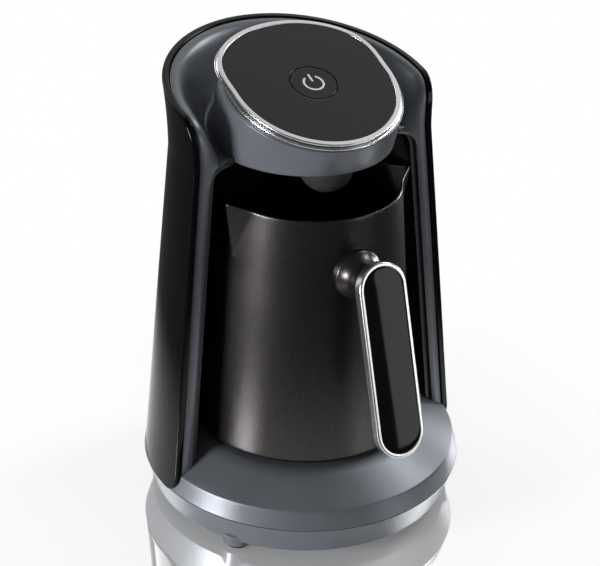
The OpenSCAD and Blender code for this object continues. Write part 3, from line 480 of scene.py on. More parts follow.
# ---------- base ----------
def make_base():
    """Upper shell: a closed section, turned about the axis. The lower shell keeps its CAD form."""
    low, under, inside = PARTING_Z + PARTING_GAP, DECK_Z - BASE_WALL, WELL_R + WELL_WALL
    section = rounded([
        (SKIRT_R, low), (BASE_R, low), (CREASE_R, CREASE_Z), (DECK_FLAT_R, DECK_Z), (WELL_R, DECK_Z),
        (WELL_R, LEDGE_Z), (LEDGE_R, LEDGE_Z), (LEDGE_R, LEDGE_Z - LEDGE_T), (inside, LEDGE_Z - LEDGE_T),
        (inside, under), (DECK_FLAT_R - DECK_STEP, under), (SKIRT_R, CREASE_Z - BASE_WALL),
    ], [0.2, 0.35, 1.6, 16.0, 0.5, 0, 0.3, 0.3, 0, 0, 0, 0], closed=True, steps=8)
    piece("base_deck", [(turned(section), True, True)], "base_grey", ["base_upper_shell"])


def make_plate():
    """Heating plate and its seal: closed profiles turned about the axis."""
    top = rounded([(0, PLATE_TOP_Z), (PLATE_R, PLATE_TOP_Z), (PLATE_R, PLATE_Z), (0, PLATE_Z)], [0, 0.5, 0.1, 0])
    piece("hot_plate", [(turned(top), False, True)], "plate_metal", ["heating_plate"])
    inner = LEDGE_R + SEAL_SETBACK
    seal = rounded([
        (inner, LEDGE_Z), (WELL_R - FIT, LEDGE_Z), (WELL_R - FIT, DECK_Z), (PLATE_R + FIT, DECK_Z),
        (PLATE_R + FIT, PLATE_Z), (inner, PLATE_Z),
    ], [0.1, 0.1, 0.2, 0.2, 0, 0.1], closed=True)
    piece("seal_ring", [(turned(seal), True, True)], "seal_silicone", ["plate_seal"])


def make_feet():
    """Four rubber feet: a turned profile with a rolled lower edge, in the four corners of a rectangle."""
    foot = turned(rounded([(0, 0), (FOOT_R, 0), (FOOT_R, FOOT_H), (0, FOOT_H)], [0, 0.9, 0.3, 0]), FOOT_TURN)
    x, y = FOOT_RING_R * cos(FOOT_ANGLE), FOOT_RING_R * sin(FOOT_ANGLE)
    grids = [(foot + (sx * x, sy * y, 0), False, True) for sx, sy in ((1, 1), (1, -1), (-1, 1), (-1, -1))]
    piece("soft_feet", grids, "foot_rubber", ["rubber_feet"])


# ---------- cape ----------
START_H, START_Z = 100.0, 186.0         # where the repetitions start
FRONT_SLANT = hypot(1, WING_SLOPE)
FRONT_NORMAL, RIM_NORMAL = pi - atan(WING_SLOPE), pi / 2 + RIM_SLOPE


def wing_y(z):
    """The wing's front edge in the side view: a straight line that leans back as it rises."""
    return -WING_FRONT + WING_SLOPE * (z - PARTING_Z)


def rim_z(y):
    """The rim in the side view: a straight line that falls from the back to the front."""
    return PARTING_Z + RIM_H - (RIM_BACK_Y - y) * tan(RIM_SLOPE)


def corner_centres():
    """Centres of the side view's two rounded corners, each its radius from both lines; the rim's by repetition."""
    foot_z = PARTING_Z + FOOT_CORNER
    foot = (wing_y(foot_z) + FOOT_CORNER * FRONT_SLANT, foot_z)
    y = 0.0
    for _ in range(30):
        z = rim_z(y) - RIM_CORNER / cos(RIM_SLOPE)
        y = wing_y(z) + RIM_CORNER * FRONT_SLANT
    return foot, (y, z)


def side_to_tower(y, z):
    """Side-view (y, z) to the tower's own across and height."""
    c, s = cos(TOWER_LEAN), sin(TOWER_LEAN)
    return (y - TOWER_Y) * c - (z - PARTING_Z) * s, (y - TOWER_Y) * s + (z - PARTING_Z) * c


def on_slope(theta, inset, line):
    """Height h at which the tower's surface, at angle theta, meets a line of the side view: found by repetition."""
    h = np.full_like(theta, START_H)
    c, s = cos(TOWER_LEAN), sin(TOWER_LEAN)
    for _ in range(12):
        across = (tower_radius(h) - inset) * np.sin(theta)
        y = TOWER_Y + across * c + h * s
        h = (line(y) - PARTING_Z + across * s) / c
    return h


EDGE_COUNTS = (18, 8, 96, 24, 72)       # points of the bottom, foot corner, front, rim corner and rim
SPINE_LOW, SPINE_HIGH = 32, 62          # how far up the back's middle the rows of both corners end
CAPE_ROLL_OUT, CAPE_ROLL_IN, CAPE_COLUMNS = 0.8, 0.6, (40, 20)


def cape_edge(d, inset):
    """Angle and height, on the tower, of the cape's outline moved in by d: along the bottom, round the foot's
    corner, up the front, round the rim's corner and along the rim."""
    foot, rim = corner_centres()
    n_low, n_foot, n_front, n_rim, n_top = EDGE_COUNTS
    start = arc(foot, FOOT_CORNER - d, np.linspace(1.5 * pi, FRONT_NORMAL, n_foot))
    end = arc(rim, RIM_CORNER - d, np.linspace(FRONT_NORMAL, RIM_NORMAL, n_rim))
    t = np.linspace(0, 1, n_front + 2)[1:-1, None]
    across, h = side_to_tower(*np.concatenate([start, start[-1] + (end[0] - start[-1]) * t, end]).T)
    theta = np.arcsin(np.clip(across / (tower_radius(h) - inset), -1, 1))
    ease = np.linspace(0, 1, n_low, endpoint=False)
    low = pi / 2 + (theta[0] - pi / 2) * ease
    low_h = on_slope(low, inset, lambda yy: PARTING_Z + d + 0 * yy)
    top = theta[-1] + (pi / 2 - theta[-1]) * np.linspace(0, 1, n_top + 1)[1:]
    top_h = on_slope(top, inset, lambda yy: rim_z(yy) - d / cos(RIM_SLOPE))
    return np.concatenate([low, theta, top]), np.concatenate([low_h, h, top_h])


def cape_skin(d, inset, columns):
    """From the outline to the line up the middle of the back: straight in angle and height."""
    theta, h = cape_edge(d, inset)
    marks = np.cumsum([0, *EDGE_COUNTS])[[0, 2, 3, 5]]
    levels = [h[0], h[0] + SPINE_LOW, h[-1] - SPINE_HIGH, h[-1]]
    spine = np.interp(np.arange(len(h)), marks - (0, 0, 0, 1), levels)
    t = np.linspace(0, 1, columns)
    theta, h, spine = theta[:, None], h[:, None], spine[:, None]
    return in_tower(theta + (pi / 2 - theta) * t, h + (spine - h) * t, inset)


def edge_points(d, inset):
    """Points of the cape's outline moved in by d along the skin and by inset through the wall."""
    return in_tower(*cape_edge(d, inset), inset)


def halves(half):
    """The grids of a half and of its mirror image."""
    return [(half, False, False), (half * (-1, 1, 1), False, False)]


def make_cape():
    """A wall along the tower: outer skin, edge rolled in two quarter turns, inner skin, from spine to spine."""
    steps = quarter(CAPE_ROLL_OUT) + [(v, CAPE_T - u) for u, v in quarter(CAPE_ROLL_IN)]
    roll = np.stack([edge_points(d, inset) for d, inset in steps], 1)
    n_outer, n_inner = CAPE_COLUMNS
    outer, inner = cape_skin(CAPE_ROLL_OUT, 0, n_outer)[:, ::-1], cape_skin(CAPE_ROLL_IN, CAPE_T, n_inner)
    piece("cape_shell", halves(np.concatenate([outer[:, :-1], roll, inner[:, 1:]], 1)), "cape_gloss",
          ["outer_cape"])


# ---------- frame: front band and collar ----------
FRAME_INSET, FRAME_SETBACK, FRAME_WALL_INSET = 3.35, 0.5, 8.85
FRAME_ROLL, NICHE_INSET, NICHE_ROUND, NICHE_SIDE, NICHE_ROLL = 0.8, 8.95, 8.0, 4.0, 0.6
VALLEY_DEPTH, VALLEY_FILLET, VALLEY_CLIMB, VALLEY_DIP, DRUM_SEAT_R = 18.5, 4.5, 0.45, 13.5, HEAD_R - 0.1
BAND_BULGE = (0, 0.3, 0.45, 0.45, 0.3, 0)       # how far a band's row stands forward at its six control points
# A collar's control points but the last: shares of the way in, of the way down and of the valley's dip.
BOWL = ((0, 0, 0), (0.18, 0, 0), (0.42, -0.02, 0), (0.52, 1.05, 0), (0.86, 1.25, 1))
TURN_BACK, DRUM_MIDDLE_Y = 0.12, 10.0           # share of the collar in which its edge turns to face the drum
CORNER_EASE, CORNER_REACH, CORNER_ROWS = 5.0, 12.0, (6, 40)
SHOULDER_EASE, SHOULDER_ROWS, SHOULDER_PULL = 12.0, (20, 35, 30), (0, 0, 0.5, 1.0, 0.9, 0)
LIP_DEPTH, RABBET_ROWS, RABBET_DEPTHS = 1.2, (12, 20), (0.95, 2.8, 2.8, 5.0)
WALL_SPINE = (32, 45, 20)                       # how far from its ends the wall's rows reach up the back
OUTER_COLUMNS, FACE_COLUMNS, WALL_COLUMNS = 24, 30, 18


def front_y(z):
    """How far forward the frame's front stands at height z: the wing's line, set back."""
    return wing_y(z) + FRAME_SETBACK * FRONT_SLANT


def front_point(z, inset):
    """Point of the frame's front, at height z and moved in from the tower's outside by inset."""
    across, h = side_to_tower(front_y(z), z)
    return in_tower(np.arcsin(across / (tower_radius(h) - inset)), h, inset)


def niche_top(t):
    """The niche's edge from its side, round its corner and along its top to the drum, and its inward normal."""
    side, turn = HEAD_BOTTOM_Z - NICHE_ROUND, np.linspace(0, pi / 2, 17)
    low_x, side_x = (front_point(np.array(z), NICHE_INSET)[0] for z in (side - NICHE_SIDE, side))
    corner = arc((side_x - NICHE_ROUND, side), NICHE_ROUND, turn)
    line = np.vstack([(low_x, side - NICHE_SIDE), corner, (drum_meeting()[0], HEAD_BOTTOM_Z)])
    facing, run = np.concatenate([[0], turn, [pi / 2]]), walked(line)
    x, z, facing = (np.interp(t, run / run[-1], v) for v in (*line.T, facing))
    return np.stack([x, front_y(z), z], -1), np.stack([-np.cos(facing), 0 * t, -np.sin(facing)], -1)


def drum_meeting():
    """Where the frame's front meets the drum's lower edge: x, and the angle about the head's axis."""
    across = front_y(HEAD_BOTTOM_Z) * cos(HEAD_TILT) + (HEAD_BOTTOM_Z - PANEL_Z) * sin(HEAD_TILT)
    x = sqrt(DRUM_SEAT_R ** 2 - across ** 2)
    return x, atan2(across, x)


def valley_line(t):
    """Line where the collar runs up against the drum, from the front (t = 0) to the middle of the back (t = 1), and
    how far it has climbed there from the drum's lower edge to the valley's floor; its height by repetition."""
    start = drum_meeting()[1]
    a = start + (pi / 2 - start) * t
    rise = smooth(t / VALLEY_CLIMB)
    z = np.full_like(a, START_Z)
    for _ in range(6):
        floor = rim_z(head_wall_at(DRUM_SEAT_R, a, z)[..., 1]) - VALLEY_DEPTH / cos(RIM_SLOPE)
        z = HEAD_BOTTOM_Z + (floor + VALLEY_FILLET - HEAD_BOTTOM_Z) * rise
    return head_wall_at(DRUM_SEAT_R, a, z), rise


def from_tower(points):
    """Angle, height and inset, on the tower, of points of the machine's frame."""
    across, h = side_to_tower(points[..., 1], points[..., 2])
    return np.arctan2(across, points[..., 0]), h, tower_radius(h) - np.hypot(points[..., 0], across)


def bezier(control, count):
    """Curves of degree len(control) - 1, one for each row, by Bernstein's weights."""
    n, t = len(control) - 1, np.linspace(0, 1, count)
    weights = np.stack([comb(n, k) * t ** k * (1 - t) ** (n - k) for k in range(n + 1)])
    return np.einsum("kc,krx->rcx", weights, np.stack(control))


def make_frame():
    """Each row runs from the middle of the back, round the outside, over the edge, across the front band or down
    the collar to the drum, round the niche's edge and back inside. Bands are flat curves, collars are six-point
    curves that leave the rim level, fall steeply and rise again at the drum. Where the band becomes the collar,
    the rows' ends and bends are weighted averages of their neighbours'."""
    d, w = FRAME_SETBACK, FRAME_INSET
    roll = np.stack([edge_points(d + u, w + v) for u, v in quarter(FRAME_ROLL)], 1)
    rim, row = roll[:, -1], np.arange(len(roll))
    front = sum(EDGE_COUNTS[:2])
    crest = sum(EDGE_COUNTS[:3])
    start = int(np.argmax((row > front) & (rim[:, 2] > HEAD_BOTTOM_Z - NICHE_ROUND - NICHE_SIDE)))
    walk = walked(rim)
    on_band = np.clip((walk - walk[start]) / (walk[crest] - walk[start]), 0, 1)
    on_collar = np.clip((walk - walk[crest]) / (walk[-1] - walk[crest]), 0, 1)

    # The inner edge of every row, and its two directions: into the niche and backwards.
    edge = edge_points(d, NICHE_INSET - NICHE_ROLL)
    inward = unit(edge_points(d, NICHE_INSET + 1) - edge)
    back = unit(edge_points(d + 1, NICHE_INSET) - edge_points(d, NICHE_INSET))
    top, top_inward = niche_top(on_band)
    valley, rise = valley_line(on_collar)
    radial = unit(valley * (1, 1, 0) - (0, DRUM_MIDDLE_Y, 0))
    flip = smooth(on_collar / TURN_BACK)[:, None]
    band, collar = slice(start, crest), slice(crest, len(rim))
    edge[band], inward[band], back[band] = top[band] - NICHE_ROLL * top_inward[band], top_inward[band], (0, 1, 0)
    edge[collar] = valley[collar]
    inward[collar] = (np.cos(pi * flip) * (0, 0, -1) - np.sin(pi * flip) * radial)[collar]
    back[collar] = unit((1 - flip) * (0, 1, 0) - flip * radial)[collar]

    # The corner where the niche's top becomes the valley is averaged.
    along, near_crest = walked(edge), (row > start - CORNER_ROWS[0]) & (row < crest + CORNER_ROWS[1])
    at_corner = (np.exp(-((along - along[crest]) / CORNER_REACH) ** 2) * near_crest)[:, None]
    blur = neighbours(along, CORNER_EASE)
    edge = edge + at_corner * (blur @ edge - edge)
    inward = unit(inward + at_corner * (blur @ inward - inward))
    back = unit(back + at_corner * (blur @ back - back))

    # The face: each row's curve is flat on the band and a bowl on the collar, averaged at the shoulder.
    level, drop = (rim - edge) * (1, 1, 0), (rim - edge) * (0, 0, 1)
    dip = VALLEY_DIP * rise[:, None] * (0, 0, 1)
    bowl = [rim - a * level - b * drop - c * dip for a, b, c in BOWL] + [edge]
    flat = [rim + (edge - rim) * k / 5 for k in range(6)]
    share = smooth(on_band)[:, None]
    bent = np.stack([(1 - share) * (-b * back) + share * (g - f) for f, g, b in zip(flat, bowl, BAND_BULGE)])
    near = neighbours(walk, SHOULDER_EASE)
    eased = np.einsum("ij,kjx->kix", near, bent)
    before, after, fade = SHOULDER_ROWS
    at_shoulder = (smooth((row - start + before) / before) * (1 - smooth((row - crest - after) / fade)))[:, None]
    control = np.stack(flat) + (1 - at_shoulder) * bent + at_shoulder * eased
    averaged = np.einsum("ij,kjx->kix", near, control)
    face = bezier(control + np.array(SHOULDER_PULL)[:, None, None] * at_shoulder * (averaged - control), FACE_COLUMNS)

    # Inside: rolled edge, a lip, a step back for the liner, and the wall to the middle of the back.
    turn = np.linspace(0, pi / 2, 6)[1:][None, :, None]
    edge_roll = edge[:, None] + NICHE_ROLL * (np.sin(turn) * inward[:, None] + (1 - np.cos(turn)) * back[:, None])
    lip = edge_roll[:, -1] + LIP_DEPTH * back
    depth = np.interp(row, [start, start + RABBET_ROWS[0], crest, crest + RABBET_ROWS[1]], RABBET_DEPTHS)
    rabbet = lip - inward * depth[:, None]
    theta, h, inset = from_tower(rabbet)
    marks = [0, front, start, crest, len(rim) - 1]
    low, high, top_step = WALL_SPINE
    spine_h = np.interp(row, marks, [h[0], h[0] + low, h[-1] - high, h[-1] - top_step, h[-1]])[:, None]
    spine_in = np.interp(row, marks, [FRAME_WALL_INSET] * 4 + [inset[-1]])[:, None]
    theta, h, inset, t = theta[:, None], h[:, None], inset[:, None], np.linspace(0, 1, WALL_COLUMNS)[1:]
    inner = in_tower(theta + (pi / 2 - theta) * t, h + (spine_h - h) * t, inset + (spine_in - inset) * t ** 0.5)
    outer = cape_skin(d + FRAME_ROLL, w, OUTER_COLUMNS)[:, ::-1]
    half = np.concatenate([outer[:, :-1], roll, face[:, 1:], edge_roll, lip[:, None], rabbet[:, None], inner], 1)
    piece("grey_frame", halves(half), "frame_grey", ["inner_frame"])


# ---------- head ----------
def head_wall_at(r, a, z):
    """Point of the head's tilted cylinder of radius r at angle a that lies at height z."""
    return head_point(r, a, (z - PANEL_Z - r * np.sin(a) * sin(HEAD_TILT)) / cos(HEAD_TILT))


def make_drum():
    """Drum: straight up its tilted axis from a flat underside, with rolled edges; its section closes inside."""
    a, inner, shelf, step_top = round_angles(TURN), HEAD_R - HEAD_WALL, HEAD_R - RING_STEP, DRUM_TOP + RING_STEP
    top = rounded([(inner, DRUM_TOP - 4), (inner, step_top), (shelf, step_top), (shelf, DRUM_TOP), (HEAD_R, DRUM_TOP),
                   (HEAD_R, DRUM_TOP - 4)], [0, 0.2, 0.1, 0.1, 0.5, 0])
    low = rounded([(HEAD_R, HEAD_BOTTOM_Z + 2), (HEAD_R, HEAD_BOTTOM_Z), (inner, HEAD_BOTTOM_Z),
                   (inner, HEAD_BOTTOM_Z + 2)], [0, 0.7, 0.2, 0])
    rows = [head_point(r, a, w) for r, w in top] + [head_wall_at(r, a, z) for r, z in low]
    piece("head_barrel", [(np.stack(rows), True, True)], "frame_grey", ["head_drum"])


def along_panel(section):
    """Section (growth, height) carried round the panel's outline: radius = reach(a) + growth."""
    a = round_angles(PANEL_TURN)
    return head_point(panel_reach(a) + section[:, :1], a, section[:, 1:])


def make_top():
    """Ring, panel and button. The ring steps in at a groove, between a bezel and a lower band; a black strip in the
    groove is painted shade. The panel runs from the button's round hole to its own outline, with rolled edges."""
    ring = rounded([
        (-2, -RING_H), (RING_W, -RING_H), (RING_W, GROOVE_LOW), (GROOVE_G, GROOVE_LOW), (GROOVE_G, GROOVE_TOP),
        (BEZEL_W, GROOVE_TOP), (BEZEL_W, RING_LIP), (FIT, RING_LIP), (FIT, -PANEL_T - FIT), (-2, -PANEL_T - FIT),
    ], [0, 0.45, 0.45, 0, 0, 0.2, 0.45, 0.35, 0, 0], closed=True, steps=6)
    piece("bright_ring", [(along_panel(ring), True, True)], "bright_chrome", ["chrome_ring"])
    # A thin black strip just inside the groove: painted shade, standing in for the groove's shadow.
    inside, outside, low, high = GROOVE_G - 0.2, GROOVE_G + 0.06, GROOVE_LOW - 0.1, GROOVE_TOP + 0.1
    shade_band = np.array([(inside, low), (outside, low), (outside, high), (inside, high)])
    piece("ring_painted_shade", [(along_panel(shade_band), True, True)], "grip_black")

    a = round_angles(HOLE_TURN)
    hole, outer, roll = BUTTON_R + BUTTON_GAP, panel_reach(a), quarter(PANEL_ROLL, 5)
    rows = [(hole, -PANEL_T), *((hole + v, -u) for u, v in roll)]
    rows += [(hole + (outer - hole) * k, 0.0) for k in np.linspace(0.06, 0.94, 12)]
    rows += [*((outer - u, -v) for u, v in roll), (outer, -PANEL_T)]
    points = np.stack([head_point(r, a, w) for r, w in rows])
    piece("dark_panel", [(points, True, True)], "panel_gloss", ["top_panel"])

    flange, under = -PANEL_T - FIT, -PANEL_T - FIT - BUTTON_FLANGE_T
    profile = rounded([(0, -0.02), (BUTTON_R, -0.02), (BUTTON_R, flange), (BUTTON_FLANGE_R, flange),
                       (BUTTON_FLANGE_R, under), (BUTTON_STEM_R, under), (BUTTON_STEM_R, STEM_END), (0, STEM_END)],
                      [0, 0.3, 0, 0.1, 0.1, 0, 0.2, 0])
    piece("press_button", [(in_head(turned(profile, BUTTON_TURN)), False, True)], "panel_gloss", ["power_button"],
          "button")


def make_power_symbol():
    """Power sign on the button: an arc that is open at the back, and a bar."""
    inner, outer, low = SIGN_R - SIGN_HALF_W, SIGN_R + SIGN_HALF_W, SIGN_LIFT - SIGN_T
    a = np.linspace(pi / 2 + SIGN_GAP, 2.5 * pi - SIGN_GAP, 64)
    band = rounded([(inner, low), (inner, SIGN_LIFT), (outer, SIGN_LIFT), (outer, low)], 0.05, closed=True, steps=2)
    x, y = np.meshgrid((-SIGN_HALF_W, SIGN_HALF_W), SIGN_BAR, indexing="ij")
    bar = in_head(np.stack([x, y, SIGN_LIFT + 0 * x], -1))
    piece("power_sign", [(head_point(band[:, :1], a, band[:, 1:]), True, False), (bar, False, False)],
          "plunger_white", body="button", finish="symbol_white", evened=False)


def make_dome():
    """Smoked dome: a thick half ball on a short skirt, closed inside."""
    mid, thin, down = DOME_LOW_Z + DOME_R, DOME_R - DOME_WALL, np.linspace(-pi / 2, 0, 24)
    outer, inner = (arc((0, mid), r, down) for r in (DOME_R, thin))
    wide, top = DOME_R + DOME_RIM_W, CEILING_Z + DOME_RIM_T
    profile = np.concatenate([outer, [(DOME_R, CEILING_Z), (wide, CEILING_Z), (wide, top), (thin, top)], inner[::-1]])
    piece("smoked_dome", [(turned(profile, SMALL_TURN) + (0, -DOME_FRONT, 0), False, True)], "dome_smoke",
          ["sensor_dome"])


# ---------- pot ----------
SPOUT_EASE, NO_SPOUT, SPOUT_CUT = 1.1, -9.0, radians(60)
POT_LOW, POT_HIGH = (3.5, 92, 12), (95, POT_H - 0.7, 26)        # the wall's rows: from, to and how many


def pot_side(h):
    """Radius of the pot's cone at height h over its bottom."""
    return POT_R + (POT_RIM_R - POT_R) * h / POT_H


def spout_out(a, h):
    """How far the wall at angle a stands out of the cone at height h: a wedge from a point low on the wall to the
    lip, its edges eased by half of x plus the root of (x squared plus the ease squared)."""
    k = np.clip((h - (POT_H - SPOUT_DEPTH)) / SPOUT_DEPTH, 0, 1)
    low_r = pot_side(POT_H - SPOUT_DEPTH)
    tip = (1 - k) * low_r + k * (POT_RIM_R + SPOUT_REACH)
    px = (1 - k) * low_r + k * POT_RIM_R * cos(SPOUT_HALF)
    py = np.maximum(k * POT_RIM_R * sin(SPOUT_HALF), 1e-6)
    off = np.abs(a)
    ray = tip * py / (py * np.cos(off) + (tip - px) * np.sin(off))
    over = np.where((off < SPOUT_CUT) & (k > 0), ray - pot_side(h), NO_SPOUT)
    return 0.5 * (over + np.sqrt(over ** 2 + SPOUT_EASE ** 2)) - 0.5 * (NO_SPOUT + hypot(NO_SPOUT, SPOUT_EASE))


def round_pot(profile):
    """Profile (radius, height) carried round the pot; each spout pushes the wall out and lifts the lip."""
    a, r0, h = round_angles(POT_TURN), profile[:, :1], profile[:, 1:]
    out = sum(spout_out((a - centre + pi) % (2 * pi) - pi, h + 0 * a)
              for centre in (-SPOUT_TURN, pi + SPOUT_TURN))
    share = np.clip(out / SPOUT_REACH, 0, 1)
    near_rim = np.clip((h - (POT_H - SPOUT_DEPTH)) / SPOUT_DEPTH, 0, 1) ** 3
    on_wall = np.clip(r0 / np.maximum(pot_side(h), 1), 0, 1) > 0.9
    r = r0 + out * on_wall
    return around(r, a, POT_Z + h + SPOUT_RISE * share * near_rim)


def make_pot():
    """Closed section, carried round: bottom, outside of the cone, half-round lip, inside, floor."""
    heights, half = np.concatenate([np.linspace(*POT_LOW), np.linspace(*POT_HIGH)]), POT_WALL / 2
    bottom = rounded([(0, 0), (POT_R - 0.05, 0), (pot_side(6), 6)], [0, 2.0, 0], steps=8)[:-1]
    outer = np.stack([pot_side(heights), heights], 1)
    lip = arc((POT_RIM_R - half, POT_H - half), half, np.linspace(0, pi, 9)[1:-1])
    inner = (outer - (POT_WALL, 0))[::-1][:-1]
    floor = rounded([(pot_side(8) - POT_WALL, 8), (pot_side(POT_FLOOR_T) - POT_WALL, POT_FLOOR_T), (0, POT_FLOOR_T)],
                    [0, 2.5, 0], steps=6)
    profile = np.concatenate([bottom, outer, lip, inner, floor])
    piece("pot_vessel", [(round_pot(profile), False, True)], "pot_metal", ["pot_body"], "pot")


def make_stem():
    """Stem: a turned neck along -y that flares towards its root, which is cut to the pot's side."""
    a, t, above = round_angles(SMALL_TURN), np.linspace(0, 1, 16), STEM_Z - GRIP_MID_Z
    far = GRIP_REACH - (GRIP_T + above * sin(GRIP_LEAN)) / cos(GRIP_LEAN) + STEM_END_IN
    flare = STEM_NECK_R + (STEM_ROOT_R - STEM_NECK_R) * (1 - t) ** STEM_EASE
    radius = np.concatenate([[STEM_ROOT_R], flare, [STEM_NECK_R, 0]])[:, None]
    depth = np.concatenate([pot_side(STEM_Z - POT_Z) + STEM_COLLAR + STEM_FLARE * t, [far, far]])[:, None]
    x, z = radius * np.cos(a), radius * np.sin(a)
    seat = np.sqrt(pot_side(STEM_Z - POT_Z + z[0]) ** 2 - x[0] ** 2) - STEM_SINK
    y = -np.vstack([seat, depth + 0 * a])
    piece("pot_stem", [(np.stack([x, y, STEM_Z + z], -1), False, True)], "pot_metal", ["handle_stem"], "pot")


def round_grip(section):
    """Section (inset, out) carried round the grip's long rounded outline, which shrinks by the inset."""
    a, reach = round_angles(GRIP_TURN), GRIP_LEN / 2 - GRIP_HALF_W
    r, w = GRIP_HALF_W - section[:, :1], section[:, 1:]
    return in_grip(np.stack([r * np.cos(a), np.where(np.sin(a) >= 0, reach, -reach) + r * np.sin(a), w + 0 * a], -1))


def make_grip():
    """Grip: metal frame, plastic core and a glossy insert crowned by a parabola, all along one rounded outline."""
    frame_section = rounded([(0, -CORE_STEP), (0, 0), (GRIP_FRAME_W, 0), (GRIP_FRAME_W, -CORE_STEP)],
                            [0.4, 0.7, 0.35, 0.2], closed=True)
    piece("grip_frame", [(round_grip(frame_section), True, True)], "bright_chrome", ["handle_frame"], "pot")
    inner = GRIP_FRAME_W + FIT
    core = rounded([(GRIP_HALF_W, -GRIP_T), (CORE_INSET, -GRIP_T), (CORE_INSET, -CORE_STEP), (inner, -CORE_STEP),
                    (inner, -INSERT_T), (GRIP_HALF_W, -INSERT_T)], [0, 1.6, 0.2, 0, 0, 0])
    piece("grip_core", [(round_grip(core), False, True)], "grip_black", ["handle_core"], "pot")
    crown, shoulder = np.linspace(0, 1, 10)[1:], inner + 0.3
    face = np.stack([shoulder + (GRIP_HALF_W - shoulder) * crown, INSERT_CROWN * (1 - (1 - crown) ** 2)], 1)
    edge = [(GRIP_HALF_W, -INSERT_T), (inner, -INSERT_T), (inner, -0.25), (inner + 0.1, -0.07)]
    insert = np.concatenate([edge, face])
    piece("grip_insert", [(round_grip(insert), False, True)], "insert_gloss", ["handle_insert"], "pot")


for make in (make_base, make_plate, make_feet, make_cape, make_frame, make_drum, make_top, make_power_symbol,
             make_dome, make_pot, make_stem, make_grip):
    make()


# ---------- floor, lights and camera ----------
TABLE_HALF, TABLE_FADE, TABLE_SHINE, TABLE_GLOW = 0.30, (0.13, 0.27), 0.60, 0.30
SWEEP_WAY, SWEEP_EDGE, DIM_ROOM, SOFT_ROOM = (0.47, 0.81, 0.35), (0.84, 0.97), 0.08, 0.26
MIDDLE = (0, 0, 0.10)
LAMPS = (                       # name, place, what it points at, its two sides, watts
    ("strip_left", (-0.80, -0.05, 0.165), (0, 0, 0.12), (0.24, 0.25), 8),
    ("strip_right", (0.60, 0.16, 0.13), MIDDLE, (0.07, 0.24), 1.4),
    ("box_top", (0.42, 0.30, 0.85), MIDDLE, (0.5, 0.5), 0.45),
    ("box_front", (0.62, -0.87, 0.25), MIDDLE, (0.46, 0.6), 1.7),
    ("box_back", (-0.30, 0.75, 0.75), MIDDLE, (0.4, 0.3), 1.7),
    ("box_right", (0.75, 0.02, 0.85), MIDDLE, (0.3, 0.3), 3.5),
)
AZIMUTH, ELEVATION, ROLL, DISTANCE, AIM_Z = radians(-30), radians(28.31), radians(2.09), 0.858, 0.10876
SENSOR, PICTURE_WIDTH, FOCUS, SHIFT = 36, 600, 1794.3, (-6.44, 0.30)        # the last three in picture points


def any_ray(tree, *kinds):
    """1 where the ray is of one of the kinds, else 0: the largest of their flags."""
    path = node(tree, "LightPath")
    found = path.outputs[kinds[0]]
    for kind in kinds[1:]:
        most = node(tree, "Math", operation="MAXIMUM")
        joined(tree, (found, most.inputs[0]), (path.outputs[kind], most.inputs[1]))
        found = most.outputs[0]
    return found


def make_floor():
    """A round white table that mirrors the object in part, and fades into the white room at its edge."""
    made, tree, bsdf = shader("pale_table", Roughness=0.5)
    noise = node(tree, "TexNoise", in_Scale=6.0, in_Detail=3.0)
    tinted(tree, bsdf, noise.outputs[0], (0.74, 0.74, 0.74), (0.76, 0.76, 0.76))
    mirror = node(tree, "BsdfGlossy", in_Roughness=0.0, in_Color=(1, 1, 1, 1))
    glow, lit = node(tree, "Emission"), node(tree, "AddShader")
    sheet, edge = node(tree, "MixShader", in_Fac=TABLE_SHINE), node(tree, "MixShader")
    reach = node(tree, "VectorMath", operation="LENGTH")
    seen = any_ray(tree, "Is Camera Ray", "Is Transmission Ray", "Is Glossy Ray")
    joined(tree, (times(tree, seen, TABLE_GLOW), glow.inputs["Strength"]), (bsdf.outputs[0], lit.inputs[0]),
           (glow.outputs[0], lit.inputs[1]), (lit.outputs[0], sheet.inputs[1]), (mirror.outputs[0], sheet.inputs[2]),
           (node(tree, "TexCoord").outputs["Object"], reach.inputs[0]),
           (remapped(tree, reach.outputs["Value"], *TABLE_FADE, curve="SMOOTHSTEP"), edge.inputs[0]),
           (sheet.outputs[0], edge.inputs[1]), (node(tree, "BsdfTransparent").outputs[0], edge.inputs[2]),
           (edge.outputs[0], tree.nodes["Material Output"].inputs["Surface"]))
    mesh = bpy.data.meshes.new("pale_table")
    corners = [(x * TABLE_HALF, y * TABLE_HALF, 0) for x, y in ((-1, -1), (1, -1), (1, 1), (-1, 1))]
    mesh.from_pydata(corners, [], [(0, 1, 2, 3)])
    mesh.materials.append(made)
    table = added("pale_table", mesh)


def area_light(name, place, target, size, power):
    """A rectangular lamp that points from its place at its target."""
    data = bpy.data.lights.new(name, "AREA")
    data.shape, data.energy = "RECTANGLE", power
    data.size, data.size_y = size
    lamp = added(name, data)
    lamp.location = place
    lamp.rotation_euler = (Vector(target) - Vector(place)).to_track_quat("-Z", "Y").to_euler()


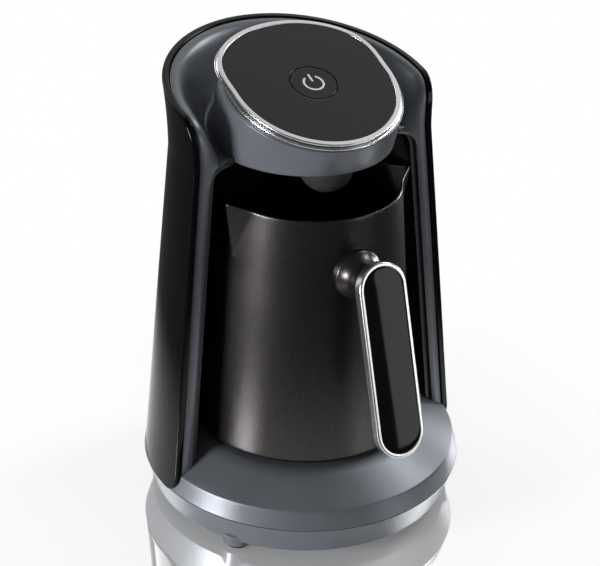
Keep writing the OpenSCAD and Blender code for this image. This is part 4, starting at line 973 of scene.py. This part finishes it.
def make_light():
    """Studio: strips low at both sides and soft boxes round about, in a room that is white to the camera, to glass
    and to clear mirrors. Gloss sees a white sweep behind the object and a dim room; the rest is lit by a soft room."""
    world = bpy.data.worlds.new("studio")
    scene.world = world
    world.use_nodes = True
    tree = world.node_tree
    back = tree.nodes["Background"]
    back.inputs["Color"].default_value = (1, 1, 1, 1)
    away = node(tree, "VectorMath", operation="DOT_PRODUCT")
    away.inputs[1].default_value = SWEEP_WAY
    tree.links.new(node(tree, "TexCoord").outputs["Generated"], away.inputs[0])
    sweep = remapped(tree, away.outputs["Value"], *SWEEP_EDGE, DIM_ROOM, 1.0, curve="SMOOTHSTEP")
    room, strength = (node(tree, "Mix", data_type="FLOAT") for _ in range(2))
    room.inputs[2].default_value, strength.inputs[3].default_value = SOFT_ROOM, 1.0
    joined(tree, (any_ray(tree, "Is Glossy Ray"), room.inputs[0]), (sweep, room.inputs[3]),
           (any_ray(tree, "Is Camera Ray", "Is Transmission Ray", "Is Singular Ray"), strength.inputs[0]),
           (room.outputs[0], strength.inputs[2]), (strength.outputs[0], back.inputs["Strength"]))
    for lamp in LAMPS:
        area_light(*lamp)


def make_camera():
    """Camera at its distance from a point on the pot's axis: right and up are turned about the view by the roll."""
    flat = cos(ELEVATION)
    back = Vector((sin(AZIMUTH) * flat, -cos(AZIMUTH) * flat, sin(ELEVATION)))
    level = Vector((cos(AZIMUTH), sin(AZIMUTH), 0))
    right = level * cos(ROLL) + back.cross(level) * sin(ROLL)
    data = bpy.data.cameras.new("camera")
    data.sensor_width, data.lens = SENSOR, SENSOR * FOCUS / PICTURE_WIDTH
    data.shift_x, data.shift_y = (shift / PICTURE_WIDTH for shift in SHIFT)
    data.clip_start, data.clip_end = 0.05, 50
    camera = added("camera", data)
    camera.matrix_world = Matrix((right, back.cross(right), back)).transposed().to_4x4()
    camera.location = Vector((0, AXIS_Y * MM, AIM_Z)) + back * DISTANCE
    scene.camera = camera


make_floor()
make_light()
make_camera()
scene.view_settings.view_transform = "Standard"
